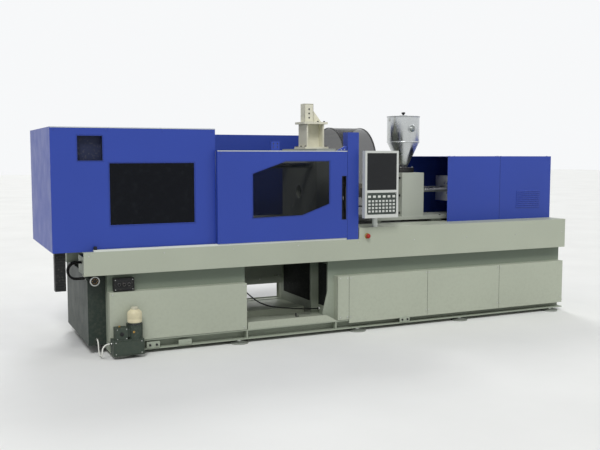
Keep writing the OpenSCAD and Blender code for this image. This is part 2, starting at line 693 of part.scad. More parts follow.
// The upper rear link in its own straight position, its first pivot at the origin.
module rear_shape() {
    circle(r = eye_r);
    translate([rear_link, 0]) circle(r = eye_r);
    translate([third_x, -third_z]) circle(r = small_r);
    polygon([[0, 40], [rear_link, 40], [rear_link + 28, -30], [third_x + 20, -third_z - 26],
        [third_x - 20, -third_z - 28], [-18, -40]]);
}

module rear_link_at_rest() translate([pivot_x, 0, axis_z + pivot_h]) rotate([0, fold_deg, 0]) {
    difference() {
        union() {
            side_plate(plate_in, plate_out) rear_shape();
            side_plate(-plate_out, -plate_in) rear_shape();
            bar_y(0, -plate_in - 1, plate_in + 1, 0, eye_r);
        }
        bar_y(0, -plate_out - 1, plate_out + 1, 0, pin_r + pin_play);
    }
    bar_y(rear_link, -plate_out, plate_out, 0, pin_r);
}

module front_link_at_rest() translate([pivot_x + knee_x, 0, axis_z + knee_z]) rotate([0, -lift_deg, 0]) {
    difference() {
        side_plate(-mid_half, mid_half) {
            circle(r = eye_r);
            translate([front_link, 0]) circle(r = eye_r);
            translate([0, -36]) square([front_link, 72]);
        }
        bar_y(0, -mid_half - 1, mid_half + 1, 0, pin_r + pin_play);
    }
}

module cross_link_at_rest()
    translate([pivot_x + cross_open_x, 0, axis_z + cross_h]) rotate([0, -cross_deg, 0]) {
    difference() {
        side_plate(-cross_half, cross_half) {
            circle(r = small_r);
            translate([cross_link, 0]) circle(r = small_r - 5);
            translate([0, -22]) square([cross_link, 44]);
        }
        bar_y(0, -cross_half - 1, cross_half + 1, 0, 18 + pin_play);
    }
    bar_y(cross_link, -mid_half, mid_half, 0, 18);
}

module upper_rear_link() color([0.42, 0.44, 0.46]) place() rear_link_at_rest();
module lower_rear_link() color([0.42, 0.44, 0.46]) place() mirror_z() rear_link_at_rest();
module upper_front_link() color([0.46, 0.48, 0.5]) place() front_link_at_rest();
module lower_front_link() color([0.46, 0.48, 0.5]) place() mirror_z() front_link_at_rest();
module upper_cross_link() color([0.5, 0.52, 0.54]) place() cross_link_at_rest();
module lower_cross_link() color([0.5, 0.52, 0.54]) place() mirror_z() cross_link_at_rest();

module platen_ear(y0, y1) side_plate(y0, y1) {
    translate([pivot_x + open_x, axis_z + pivot_h]) circle(r = eye_r);
    translate([pivot_x + open_x, axis_z + pivot_h - eye_r]) square([ear_gap + 1, 2 * eye_r - 5]);
}

module moving_platen() color([0.8, 0.81, 0.78]) place() difference() {
    union() {
        block(wall_x, mould_x, -platen_half, platen_half, axis_z - 375, axis_z + 375);
        blocks(wall_x, mould_x, rail_y - 40, rail_y + 40, slide_z, axis_z - 374);
        platen_ear(platen_ear_in, platen_ear_out);
        platen_ear(-platen_ear_out, -platen_ear_in);
        mirror_z() platen_ear(platen_ear_in, platen_ear_out);
        mirror_z() platen_ear(-platen_ear_out, -platen_ear_in);
    }
    at_bars() bar_x(wall_x - 1, mould_x + 1, 0, 0, bar_r + bar_play);
    bar_x(wall_x - 1, mould_x + 1, 0, axis_z, 26);
    bolt_holes(mould_x - 39, 40);
    for (y = [-1, 1]) bar_x(wall_x - 1, wall_x + 60, y * 75, axis_z, 14.2);
}

// The servo motor that works the ejector, and the two rods its plate runs on.
module ejector_motor() color([0.2, 0.2, 0.21]) place() {
    bar_x(wall_x - 150, wall_x, 250, axis_z, 46);
    block(wall_x - 12, wall_x, 195, 305, axis_z - 55, axis_z + 55);
    for (y = [-1, 1]) bar_x(wall_x - 128, wall_x + 59, y * 75, axis_z, 14);
}

module ejector_plate() color([0.5, 0.51, 0.53]) place() {
    difference() {
        block(wall_x - 124, wall_x - 94, -105, 105, axis_z - 40, axis_z + 40);
        for (y = [-1, 1]) bar_x(wall_x - 130, wall_x - 90, y * 75, axis_z, 14.1);
    }
    bar_x(wall_x - 95, mould_x - ejector_travel - 10, 0, axis_z, 22);
}

// The door window's six corners, as x and z.
module hexagon()
    polygon([[1610, 1050], [2060, 1060], [2320, 1152], [2320, 1520], [1910, 1520], [1610, 1417]]);

module front_door() color([0.18, 0.25, 0.62]) place() difference() {
    union() {
        tray(cover_len, door_end, fascia_top_z + rail_step + door_play, door_top_z, door_half, door_deep, -1);
        block(cover_len + 480, cover_len + 556, 12 - door_half, 36 - door_half,
            door_top_z - 1, door_top_z + 76);
    }
    side_plate(-door_half - 1, 10 - door_half) hexagon();
    block(pull_x, pull_x + pull_w, -door_half - 1, 10 - door_half, pull_z, pull_z + pull_h);
}

module front_window() color([0.05, 0.06, 0.07, 0.6]) place()
    block(1595, 2335, sheet - door_half, sheet + pane - door_half, 1035, 1535);

module front_handle() color([0.08, 0.08, 0.09]) place() {
    difference() {
        block(pull_x, pull_x + pull_w, -door_half, 35 - door_half, pull_z, pull_z + pull_h);
        block(pull_x + 3, pull_x + pull_w - 3, -door_half - 1, 32 - door_half,
            pull_z + 3, pull_z + pull_h - 3);
    }
    block(pull_x + pull_w - 10, pull_x + pull_w - 2, -door_half, 33 - door_half,
        pull_z + 90, pull_z + pull_h - 90);
}

module rear_door() color([0.18, 0.25, 0.62]) place() difference() {
    union() {
        tray(rear_cover_end + 24, door_end, fascia_top_z + rail_step + door_play, door_top_z,
            door_half, door_deep, 1);
        block(rear_cover_end + 47, rear_cover_end + 98, door_half - 32, door_half - 2, 1097, 1303);
    }
    block(1740, 2050, door_half - 10, door_half + 1, 1290, 1500);
    block(rear_cover_end + 50, rear_cover_end + 95, door_half - 29, door_half + 1, 1100, 1300);
}

module rear_window() color([0.05, 0.06, 0.07, 0.6]) place()
    block(1728, 2062, door_half - sheet - pane, door_half - sheet, 1278, 1512);

module panel_housing() color([0.78, 0.79, 0.77]) place() {
    difference() {
        block(panel_x, panel_x + panel_w, -panel_face, panel_deep - panel_face,
            panel_low_z, panel_low_z + panel_h);
        block(panel_x + 20, panel_x + panel_w - 20, -panel_face - 1, 6 - panel_face,
            panel_low_z + 245, panel_low_z + panel_h - 20);
        block(panel_x + 20, panel_x + panel_w - 20, -panel_face - 1, 5 - panel_face,
            panel_low_z + 30, panel_low_z + 222);
    }
    block(arm_x - 55, arm_x + 55, panel_deep - panel_face - 1, arm_y + 40, arm_top_z + 0.3, arm_top_z + 60);
    block(arm_x - 55, arm_x + 55, panel_deep - panel_face - 1, arm_y - 20, arm_top_z + 59, arm_top_z + 150);
}

module panel_screen() color([0.03, 0.04, 0.05]) place()
    block(panel_x + 20, panel_x + panel_w - 20, 2 - panel_face, 6 - panel_face,
        panel_low_z + 245, panel_low_z + panel_h - 20);

module panel_arm() color([0.7, 0.71, 0.7]) place() {
    bar_z(arm_x, arm_y, deck_z, deck_z + 12, 26);
    bar_z(arm_x, arm_y, deck_z + 11, arm_top_z, 24);
    bar_z(arm_x, arm_y, arm_top_z - 30, arm_top_z, 32);
}

module stop_button() color([0.5, 0.12, 0.08]) place() {
    bar_y(stop_x, -door_half - 34, -door_half - 14, stop_z, 21);
    bar_y(stop_x, -door_half - 15, 15 - door_half, stop_z, 10);
}

module guard_arch(r, z0) {
    translate([0, axis_z + 270]) circle(r = r);
    translate([-r, z0]) square([2 * r, axis_z + 270 - z0]);
}

module purge_guard() color([0.08, 0.08, 0.09, 0.6]) place() difference() {
    union() {
        translate([deck_x + 20, 0, 0]) rotate([90, 0, 90]) linear_extrude(340) difference() {
            guard_arch(guard_half, deck_z);
            guard_arch(guard_half - 4, deck_z - 1);
        }
        bar_x(deck_x + 60, deck_x + 320, guard_half + 8, deck_z + 10, 9);
    }
    bar_x(deck_x + 59, deck_x + 321, guard_half + 8, deck_z + 10, 4.05);
}

module injection_carriage() color([0.8, 0.81, 0.78]) place() difference() {
    union() {
        block(2960, drive_x + 90, -200, 200, deck_z + 12, deck_z + 45);
        for (x = [3000, 3700, 4280])
            blocks(x, x + 120, bed_rail_y - 34, bed_rail_y + 34, bed_rail_z, deck_z + 13);
        block(block_x, block_x + block_len, -190, 190, deck_z + 44, axis_z + 170);
        block(drive_x, drive_x + 80, -260, 260, deck_z + 44, axis_z + 180);
    }
    bar_x(block_x - 1, block_x + block_len + 1, 0, axis_z, barrel_r + 0.05);
    bar_z(block_x + 125, 0, axis_z, axis_z + 171, 24);
    for (y = [-1, 1]) bar_x(drive_x - 1, drive_x + 81, y * 190, axis_z, inject_screw_r + 0.05);
}

module barrel() color([0.45, 0.46, 0.47]) place() difference() {
    union() {
        bar_x(nozzle_tip + 120, block_x + block_len, 0, axis_z, barrel_r);
        bar_x(nozzle_tip + 95, nozzle_tip + 121, 0, axis_z, 40);
        bar_x(nozzle_tip + 20, nozzle_tip + 96, 0, axis_z, 26);
        translate([nozzle_tip, 0, axis_z]) rotate([0, 90, 0]) cylinder(h = 21, r1 = 14, r2 = 26);
    }
    bar_x(nozzle_tip + 150, block_x + block_len + 1, 0, axis_z, screw_r + 0.08);
    bar_x(nozzle_tip - 1, nozzle_tip + 151, 0, axis_z, 3);
    bar_z(block_x + 125, 0, axis_z, axis_z + barrel_r + 1, 24);
}

module heater_bands() color([0.6, 0.57, 0.52]) place()
    for (i = [0:3]) difference() {
        bar_x(nozzle_tip + 140 + i * 138, nozzle_tip + 262 + i * 138, 0, axis_z, barrel_r + band_t);
        bar_x(nozzle_tip + 139 + i * 138, nozzle_tip + 263 + i * 138, 0, axis_z, barrel_r + 0.05);
    }

// The two ball screws that push the screw forward, each with its motor behind the drive plate.
module injection_drive() color([0.22, 0.22, 0.23]) place()
    for (y = [-1, 1]) {
        bar_x(block_x + block_len, drive_x + 81, y * 190, axis_z, inject_screw_r);
        bar_x(drive_x + 80, drive_x + 300, y * 190, axis_z, 78);
    }

module pusher_plate() color([0.7, 0.71, 0.7]) place() difference() {
    union() {
        block(pusher_x, pusher_x + 70, -260, 260, axis_z - 130, axis_z + 130);
        bar_x(pusher_x + 69, pusher_x + 240, 0, axis_z, 88);
    }
    for (y = [-1, 1]) bar_x(pusher_x - 1, pusher_x + 71, y * 190, axis_z, inject_screw_r + 0.3);
}

module screw() color([0.7, 0.71, 0.72]) place() {
    bar_x(nozzle_tip + 340, pusher_x, 0, axis_z, screw_r);
    translate([nozzle_tip + 320, 0, axis_z]) rotate([0, 90, 0]) cylinder(h = 21, r1 = 3, r2 = screw_r);
}

module lid_ear(x, z) {
    block(x, x + 8, hopper_r - 6, hopper_r + 22, z - 20, z - 1);
    block(x, x + 8, hopper_r + 9, hopper_r + 22, z - 2, z + 8);
}

module hopper() color([0.72, 0.73, 0.74]) place() translate([block_x + 125, 0, axis_z + 170]) difference() {
    union() {
        translate([-80, -80, 0]) cube([160, 160, 50]);
        translate([0, 0, 49]) cylinder(h = 252, r1 = 42, r2 = hopper_r);
        translate([0, 0, 300]) cylinder(h = hopper_top_z - axis_z - 470, r = hopper_r);
        for (x = [-34, 26]) lid_ear(x, hopper_top_z - axis_z - 170);
        bar_x(-30, 30, hopper_r + 16, hopper_top_z - axis_z - 168, 3);
    }
    translate([0, 0, -1]) cylinder(h = 60, r = 24);
    translate([0, 0, 52]) cylinder(h = 249, r1 = 38, r2 = hopper_r - 3);
    translate([0, 0, 299]) cylinder(h = 800, r = hopper_r - 3);
    translate([-81, -35.2, 20]) cube([126, 70.4, 10.4]);
}

module hopper_lid() color([0.68, 0.69, 0.7]) place() translate([block_x + 125, 0, hopper_top_z]) {
    cylinder(h = 4, r = hopper_r + 6);
    translate([0, 0, 3]) cylinder(h = 12, r = 40);
    difference() {
        union() {
            block(-25, 25, hopper_r - 10, hopper_r + 14, 0, 4);
            bar_x(-25, 25, hopper_r + 16, 2, 6);
        }
        bar_x(-26, 26, hopper_r + 16, 2, 3.05);
    }
}

module hopper_shutter() color([0.6, 0.61, 0.62]) place() translate([block_x + 125, 0, axis_z + 190]) {
    translate([-80, -35, 0.2]) cube([124, 70, 10]);
    translate([-125, -12, 0.2]) cube([46, 24, 10]);
}

module injection_cover() color([0.18, 0.25, 0.62]) place() difference() {
    block(unit_cover_x, machine_length, -unit_cover_half, unit_cover_half, deck_z, unit_cover_z);
    block(unit_cover_x - 1, machine_length - sheet, sheet - unit_cover_half, unit_cover_half - sheet,
        deck_z - 1, unit_cover_z - sheet);
}

base_frame();
levelling_pads();
base_covers();
base_fascias();
drop_tray();
base_end_panel();
lube_tank();
lube_pump();
lube_hose();
bay_cable();
socket_boxes();
cable_duct();
hose_loops();
door_rails();
guide_rails();
fixed_platen();
tie_bars();
tie_bar_nuts();
clamp_cover_front();
clamp_window();
clamp_cover_top();
clamp_cover_end();
clamp_cover_rear();
guard_posts();
robot_riser();
tailstock();
mould_height_drive();
clamp_drive();
guide_rods();
anchor_pins();
crosshead();
upper_rear_link();
lower_rear_link();
upper_front_link();
lower_front_link();
upper_cross_link();
lower_cross_link();
moving_platen();
ejector_motor();
ejector_plate();
front_door();
front_window();
front_handle();
rear_door();
rear_window();
panel_housing();
panel_screen();
panel_arm();
stop_button();
purge_guard();
injection_carriage();
barrel();
heater_bands();
injection_drive();
pusher_plate();
screw();
hopper();
hopper_lid();
hopper_shutter();
injection_cover();
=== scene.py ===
"""Injection moulding machine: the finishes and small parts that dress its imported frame."""

import logging
import math
from dataclasses import dataclass
from enum import Enum
from itertools import product
from typing import Dict, Iterable, List, Optional, Sequence, Tuple, Union

import bmesh
import bpy
from mathutils import Matrix, Vector


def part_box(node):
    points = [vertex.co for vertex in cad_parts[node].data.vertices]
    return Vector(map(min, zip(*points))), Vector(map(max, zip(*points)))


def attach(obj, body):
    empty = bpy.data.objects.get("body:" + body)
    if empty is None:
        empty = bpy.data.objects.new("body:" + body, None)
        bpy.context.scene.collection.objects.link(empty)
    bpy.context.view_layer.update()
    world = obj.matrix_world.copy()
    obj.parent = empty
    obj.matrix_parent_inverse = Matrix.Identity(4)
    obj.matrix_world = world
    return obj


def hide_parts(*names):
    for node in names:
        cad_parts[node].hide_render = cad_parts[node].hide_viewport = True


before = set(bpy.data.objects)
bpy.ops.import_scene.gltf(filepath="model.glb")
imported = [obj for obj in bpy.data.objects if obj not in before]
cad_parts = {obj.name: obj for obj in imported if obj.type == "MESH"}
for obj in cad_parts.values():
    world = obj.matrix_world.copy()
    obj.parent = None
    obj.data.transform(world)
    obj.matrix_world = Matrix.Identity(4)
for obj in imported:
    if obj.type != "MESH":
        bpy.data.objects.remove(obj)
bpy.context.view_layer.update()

Point = Tuple[float, float, float]
Span = Tuple[float, float]
Colour = Tuple[int, int, int]
Values = Union[float, Sequence[float]]
Inputs = Dict[Union[int, str], object]
Socket = bpy.types.NodeSocket
Form = bmesh.types.BMesh

log = logging.getLogger("machine")

MM = 0.001
LENGTH = 5000.0
AXIS_Z = 1230.0
FRONT: Point = (0, -1, 0)
BACK: Point = (0, 1, 0)
LEFT: Point = (-1, 0, 0)
RIGHT: Point = (1, 0, 0)
UP: Point = (0, 0, 1)
BAR_LOW, BAR_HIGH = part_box("tie_bars")
SHIFT_Y = round((BAR_LOW.y + BAR_HIGH.y) / 2 / MM, 3)


def at(x: float, y: float, z: float) -> Vector:
    """A point of the machine's layout in millimetres, as metres in the shared frame."""
    return Vector(((x - LENGTH / 2) * MM, (y + SHIFT_Y) * MM, z * MM))


def linear(colour: Colour, gain: float = 1.0) -> Tuple[float, float, float, float]:
    """Turn a screen colour into the shader's linear one.

    Args:
        colour: Red, green and blue from 0 to 255.
        gain: How much lighter or darker it becomes.

    Returns:
        Red, green, blue and alpha.
    """
    parts = []
    for value in colour:
        share = value / 255.0
        flat = share / 12.92 if share <= 0.04045 else ((share + 0.055) / 1.055) ** 2.4
        parts.append(min(1.0, flat * gain))
    return parts[0], parts[1], parts[2], 1.0


def turned(axis: Sequence[float]) -> Matrix:
    """The turn that lays the Z axis along another one."""
    return Vector(UP).rotation_difference(Vector(axis).normalized()).to_matrix().to_4x4()


def grid(first: float, last: float, count: int) -> List[float]:
    """Evenly spaced places from one number to another."""
    return [first + (last - first) * i / (count - 1) for i in range(count)]


def steps(first: float, last: float, pitch: float) -> List[float]:
    """Places a pitch apart, from one number and short of another."""
    return [first + pitch * i for i in range(math.ceil((last - first) / pitch))]


def spots(x: Values, y: Values, z: Values) -> List[Point]:
    """Every place that the given values along the three axes make together."""
    return list(product(*(given if isinstance(given, (tuple, list)) else (given,) for given in (x, y, z))))


def about(middle: float, half: float) -> Span:
    """The two places that lie equally far from a middle."""
    return middle - half, middle + half


def wider(span: Span, margin: float) -> Span:
    """A span with a margin at both ends."""
    return span[0] - margin, span[1] + margin


def sided(side: int, near: float, far: float) -> Span:
    """Two places on one side of the machine, in rising order."""
    return min(side * near, side * far), max(side * near, side * far)


def rect(u: Span, v: Span) -> List[Span]:
    """The corners of a rectangle, or of the section of a ring."""
    return [(u[0], v[0]), (u[1], v[0]), (u[1], v[1]), (u[0], v[1])]


def arc(middle: Span, radius: float, angles: Iterable[float]) -> List[Span]:
    """Places on a circle, at angles in degrees."""
    turns = [math.radians(angle) for angle in angles]
    return [(middle[0] + radius * math.cos(turn), middle[1] + radius * math.sin(turn)) for turn in turns]


def circle(middle: Span, radius: float, count: int, first: float = 0.0) -> List[Span]:
    """Places spread evenly round a circle, from an angle in degrees."""
    return arc(middle, radius, [first + 360 * turn / count for turn in range(count)])


def ahead(x: float, places: Iterable[Span]) -> List[Point]:
    """Places across the machine, put at one place along it."""
    return [(x, y, z) for y, z in places]


def thread(crest: float, root: float, flank: float, width: float, run: Iterable[float]) -> List[Span]:
    """Work out the section of a ball screw's grooves.

    Args:
        crest: The radius outside the grooves.
        root: The radius at their floor.
        flank: How far a flank runs along the screw.
        width: How wide a groove is.
        run: Where each groove starts.

    Returns:
        Radius and place along the screw, point by point.
    """
    turn = ((crest, 0.0), (root, flank), (root, width - flank), (crest, width))
    return [(radius, start + along) for start in run for radius, along in turn]


def grown(outline: Sequence[Span], factor: float) -> List[Span]:
    """Scale an outline about its own middle.

    Args:
        outline: Its corners.
        factor: How much larger it becomes.

    Returns:
        The new corners.
    """
    mid_u = sum(u for u, _ in outline) / len(outline)
    mid_v = sum(v for _, v in outline) / len(outline)
    return [(mid_u + (u - mid_u) * factor, mid_v + (v - mid_v) * factor) for u, v in outline]


class Grain(Enum):
    """Which way the tool marks of a machined face run, as a stretch of the pattern."""

    ALONG = (3.0, 160.0, 160.0)
    ACROSS = (160.0, 3.0, 160.0)
    UPRIGHT = (160.0, 160.0, 3.0)
    EVEN = (40.0, 40.0, 40.0)


class Head(Enum):
    """The kinds of fastener head: flats, the rounded share of the height, and whether it has a socket."""

    BUTTON = (14, 0.4, True)
    HEX = (6, 0.14, False)
    SOCKET = (14, 0.14, True)


class Normal(Enum):
    """The axis that a flat outline is extruded along."""

    X = 0
    Y = 1
    Z = 2

    def point(self, u: float, v: float, along: float) -> Point:
        """A corner of the outline at a place along the axis."""
        return {Normal.X: (along, u, v), Normal.Y: (u, along, v), Normal.Z: (u, v, along)}[self]

    def vector(self, length: float) -> Vector:
        """A step of a given length along the axis."""
        return Vector([length if number == self.value else 0.0 for number in range(3)])


class Tree:
    """A node tree in the making."""

    def __init__(self, tree: bpy.types.NodeTree) -> None:
        """Take hold of a tree."""
        self.nodes = tree.nodes
        self.links = tree.links

    def fill(self, step: bpy.types.Node, inputs: Inputs) -> None:
        """Feed a node.

        Args:
            step: The node.
            inputs: A socket to link or a constant, by each input's name or number.
        """
        for name, value in inputs.items():
            if isinstance(value, Socket):
                self.links.new(value, step.inputs[name])
            else:
                step.inputs[name].default_value = value

    def node(self, kind: str, inputs: Inputs) -> bpy.types.Node:
        """Add a node and feed it.

        Args:
            kind: What follows ShaderNode in its type.
            inputs: A socket to link or a constant, by each input's name or number.

        Returns:
            The node.
        """
        step = self.nodes.new("ShaderNode" + kind)
        self.fill(step, inputs)
        return step


class Graph(Tree):
    """A material in the making, with the few nodes that the finishes share."""

    def __init__(self, name: str) -> None:
        """Start a node material.

        Args:
            name: The material's name.
        """
        self.material = bpy.data.materials.new(name)
        self.material.use_nodes = True
        super().__init__(self.material.node_tree)
        self.shader = self.nodes["Principled BSDF"]
        self.place = self.node("TexCoord", {}).outputs["Object"]

    def shade(self, **given: object) -> None:
        """Feed the shader's own sockets, by their names with underscores."""
        self.fill(self.shader, {name.replace("_", " "): value for name, value in given.items()})

    def noise(self, scale: float, detail: float = 3.0, stretch: Optional[Point] = None) -> Socket:
        """Add a cloud pattern over the object.

        Args:
            scale: Clouds in a metre, roughly.
            detail: How many finer layers it has.
            stretch: A scale for each axis, for streaks.

        Returns:
            The pattern's value from 0 to 1.
        """
        source = self.place
        if stretch is not None:
            source = self.node("Mapping", {"Scale": stretch, "Vector": source}).outputs["Vector"]
        return self.node("TexNoise", {"Scale": scale, "Detail": detail, "Vector": source}).outputs["Fac"]

    def spread(self, value: Socket, low: float, high: float, out: Span = (0.0, 1.0)) -> Socket:
        """Map a value's range onto another one, and clamp it there."""
        inputs = {"Value": value, "From Min": low, "From Max": high, "To Min": out[0], "To Max": out[1]}
        return self.node("MapRange", inputs).outputs["Result"]

    def math(self, kind: str, first: Socket, second: object) -> Socket:
        """Join two values by one operation.

        Args:
            kind: The operation.
            first: A value.
            second: Another one, or a number.

        Returns:
            The result.
        """
        step = self.node("Math", {0: first, 1: second})
        step.operation = kind
        return step.outputs["Value"]

    def times(self, first: Socket, second: object) -> Socket:
        """Multiply a value by another one or by a number."""
        return self.math("MULTIPLY", first, second)

    def axis(self, name: str) -> Socket:
        """One of the object's own coordinates, X, Y or Z."""
        return self.node("SeparateXYZ", {"Vector": self.place}).outputs[name]

    def mix(self, share: Socket, first: object, second: object) -> Socket:
        """Blend two colours.

        Args:
            share: How much of the second shows.
            first: A colour, or the socket of one.
            second: Another of the same kinds.

        Returns:
            The blended colour.
        """
        step = self.node("Mix", {})
        step.data_type = "RGBA"
        self.fill(step, {"Factor": share, 6: first, 7: second})
        return step.outputs[2]

    def tone(self, value: Socket, span: Span, colour: Colour, gains: Span) -> Socket:
        """Shade a colour from darker to lighter by a pattern.

        Args:
            value: The pattern.
            span: The range of it that counts.
            colour: The colour.
            gains: What the colour is multiplied by at both ends.

        Returns:
            The shaded colour.
        """
        return self.mix(self.spread(value, *span), linear(colour, gains[0]), linear(colour, gains[1]))

    def edges(self, radius: float) -> Tuple[Socket, Socket]:
        """Round the object's edges in shading, and find them.

        Args:
            radius: The rounding in metres.

        Returns:
            The rounded normal, and a value that is high at the edges.
        """
        bevel = self.node("Bevel", {"Radius": radius})
        bevel.samples = 4
        plain = self.node("NewGeometry", {}).outputs["Normal"]
        dot = self.node("VectorMath", {0: bevel.outputs["Normal"], 1: plain})
        dot.operation = "DOT_PRODUCT"
        return bevel.outputs["Normal"], self.spread(dot.outputs["Value"], 0.99, 0.86)

    def bump(self, height: Socket, depth: float, normal: Optional[Socket] = None) -> None:
        """Raise the surface by a pattern.

        Args:
            height: The pattern.
            depth: Its depth in metres.
            normal: The normal that it starts from.
        """
        inputs: Inputs = {"Distance": depth, "Height": height}
        if normal is not None:
            inputs["Normal"] = normal
        self.shade(Normal=self.node("Bump", inputs).outputs["Normal"])


@dataclass(frozen=True)
class Finish:
    """What every finish has: its name, its colour and how rough it is."""

    name: str
    colour: Colour
    roughness: float

    def material(self) -> bpy.types.Material:
        """Look the finish's material up, or make it the first time.

        Returns:
            The material.
        """
        title = f"finish_{self.name}"
        known = bpy.data.materials.get(title)
        if known is not None:
            return known
        graph = Graph(title)
        self.paint(graph)
        return graph.material

    def rough(self, graph: Graph, value: Socket, span: Span, less: float, more: float) -> Socket:
        """The finish's roughness, led down and up from its own value by a pattern."""
        return graph.spread(value, *span, (self.roughness - less, self.roughness + more))

    def paint(self, graph: Graph) -> None:
        """Fill the material in."""
        raise NotImplementedError


@dataclass(frozen=True)
class Enamel(Finish):
    """Sprayed paint on sheet or castings, with dust towards the floor, rubbed edges and, where shade is set,
    a band of painted shade.
    """

    drift: float = 0.045
    peel: float = 420.0
    depth: float = 0.00009
    dust: float = 0.22
    edge: float = 0.0018
    rub: float = 0.3
    under: Colour = (196, 198, 196)
    gloss: float = 0.34
    shade: float = 0.0

    def paint(self, graph: Graph) -> None:
        """Fill the material in: clouds of tone, grime, a band of painted shade where shade is set, rubbed
        edges and orange peel.

        Args:
            graph: The material in the making.
        """
        speck = graph.noise(46.0)
        base = graph.tone(graph.noise(1.1, 2.0), (0.3, 0.7), self.colour, about(1.0, self.drift))
        low = graph.spread(graph.axis("Z"), 0.02, 0.85, (1.0, 0.06))
        grime = graph.times(graph.times(graph.spread(speck, 0.42, 0.86), low), self.dust)
        base = graph.mix(grime, base, linear((112, 108, 94)))
        # painted shade: between about 0.44 and 0.67 m up, under the fascias' overhang, the colour is
        # darkened towards a green-grey shadow tone
        if self.shade > 0.0:
            rise = graph.spread(graph.axis("Z"), 0.44, 0.56, (0.0, self.shade))
            fall = graph.spread(graph.axis("Z"), 0.63, 0.67, (1.0, 0.0))
            base = graph.mix(graph.times(rise, fall), base, linear((64, 82, 68)))
        normal, edge = graph.edges(self.edge)
        worn = graph.times(edge, graph.spread(speck, 0.46, 0.6, (0.0, self.rub)))
        graph.shade(Base_Color=graph.mix(worn, base, linear(self.under)), Specular_IOR_Level=self.gloss,
                    Roughness=self.rough(graph, graph.noise(7.0), (0.3, 0.7), 0.04, 0.06))
        graph.bump(graph.noise(self.peel, 2.0), self.depth, normal)


@dataclass(frozen=True)
class Metal(Finish):
    """Bare machined metal with tool marks and a thin film of oil."""

    grain: Grain = Grain.EVEN
    tarnish: float = 0.16
    edge: float = 0.0009
    marks: float = 0.00004

    def paint(self, graph: Graph) -> None:
        """Fill the material in: tool marks, oil stains and bright edges.

        Args:
            graph: The material in the making.
        """
        streak = graph.noise(6.0, 4.0, self.grain.value)
        stain = graph.noise(9.0, 5.0)
        tone = graph.tone(streak, (0.3, 0.7), self.colour, (0.88, 1.1))
        tone = graph.mix(graph.spread(stain, 0.5, 0.78, (0.0, self.tarnish)), tone, linear((92, 82, 66)))
        normal, edge = graph.edges(self.edge)
        bright = graph.mix(graph.times(edge, 0.5), tone, linear((214, 214, 210)))
        rough = self.rough(graph, stain, (0.3, 0.72), 0.06, 0.12)
        graph.shade(Base_Color=bright, Metallic=1.0, Roughness=rough)
        graph.bump(streak, self.marks, normal)


@dataclass(frozen=True)
class Threaded(Finish):
    """A ground bar with a thread cut along it, between two places on the object's own X axis."""

    start: float = 0.0
    end: float = 1.0
    pitch: float = 0.006
    deep: float = 0.0008

    def paint(self, graph: Graph) -> None:
        """Fill the material in: bright ground steel, with turns of thread as a bump and their grooves
        darkened as painted shade.

        Args:
            graph: The material in the making.
        """
        along = graph.axis("X")
        after = graph.math("GREATER_THAN", along, self.start)
        inside = graph.times(after, graph.math("LESS_THAN", along, self.end))
        wave = graph.math("SINE", graph.times(along, 2 * math.pi / self.pitch), 0.0)
        turns = graph.times(wave, inside)
        # painted shade: the grooves of the thread are darkened in colour
        dark = graph.times(graph.spread(turns, -1.0, 0.2, (0.75, 0.0)), inside)
        tone = graph.tone(graph.noise(8.0, 3.0, Grain.ACROSS.value), (0.3, 0.7), self.colour, (0.93, 1.06))
        graph.shade(Base_Color=graph.mix(dark, tone, linear((66, 64, 60))), Metallic=1.0,
                    Roughness=self.rough(graph, graph.noise(7.0, 4.0), (0.3, 0.7), 0.03, 0.1))
        graph.bump(turns, self.deep)


@dataclass(frozen=True)
class Moulded(Finish):
    """Moulded plastic or rubber with a fine grain."""

    grain: float = 900.0
    depth: float = 0.00008
    edge: float = 0.0012
    sheen: float = 0.0
    gloss: float = 0.26

    def paint(self, graph: Graph) -> None:
        """Fill the material in: a dull skin with grain, finger marks and a little dust.

        Args:
            graph: The material in the making.
        """
        cloud = graph.noise(11.0, 4.0)
        tone = graph.tone(cloud, (0.35, 0.7), self.colour, (0.9, 1.12))
        dust = graph.spread(graph.noise(60.0, 5.0), 0.56, 0.8, (0.0, 0.18))
        graph.shade(Base_Color=graph.mix(dust, tone, linear((150, 146, 134))), Sheen_Weight=self.sheen,
                    Roughness=self.rough(graph, cloud, (0.3, 0.7), 0.08, 0.1), Specular_IOR_Level=self.gloss)
        graph.bump(graph.noise(self.grain, 2.0), self.depth, graph.edges(self.edge)[0])


@dataclass(frozen=True)
class Smoked(Finish):
    """A tinted sheet that can be seen through, wiped in arcs."""

    cover: float = 0.8
    gloss: float = 0.22

    def paint(self, graph: Graph) -> None:
        """Fill the material in: dark tint, wiped smears and fine scratches.

        Args:
            graph: The material in the making.
        """
        smear = graph.noise(5.0, 5.0, (1.0, 1.0, 2.6))
        scratch = graph.spread(graph.noise(26.0, 6.0), 0.55, 0.85, (0.0, 0.14))
        tint = graph.mix(scratch, linear(self.colour), linear((64, 70, 76)))
        rough = self.rough(graph, smear, (0.4, 0.72), 0.0, 0.1)
        graph.shade(Base_Color=tint, Roughness=rough)
        graph.shade(Alpha=self.cover, IOR=1.49, Specular_IOR_Level=self.gloss)


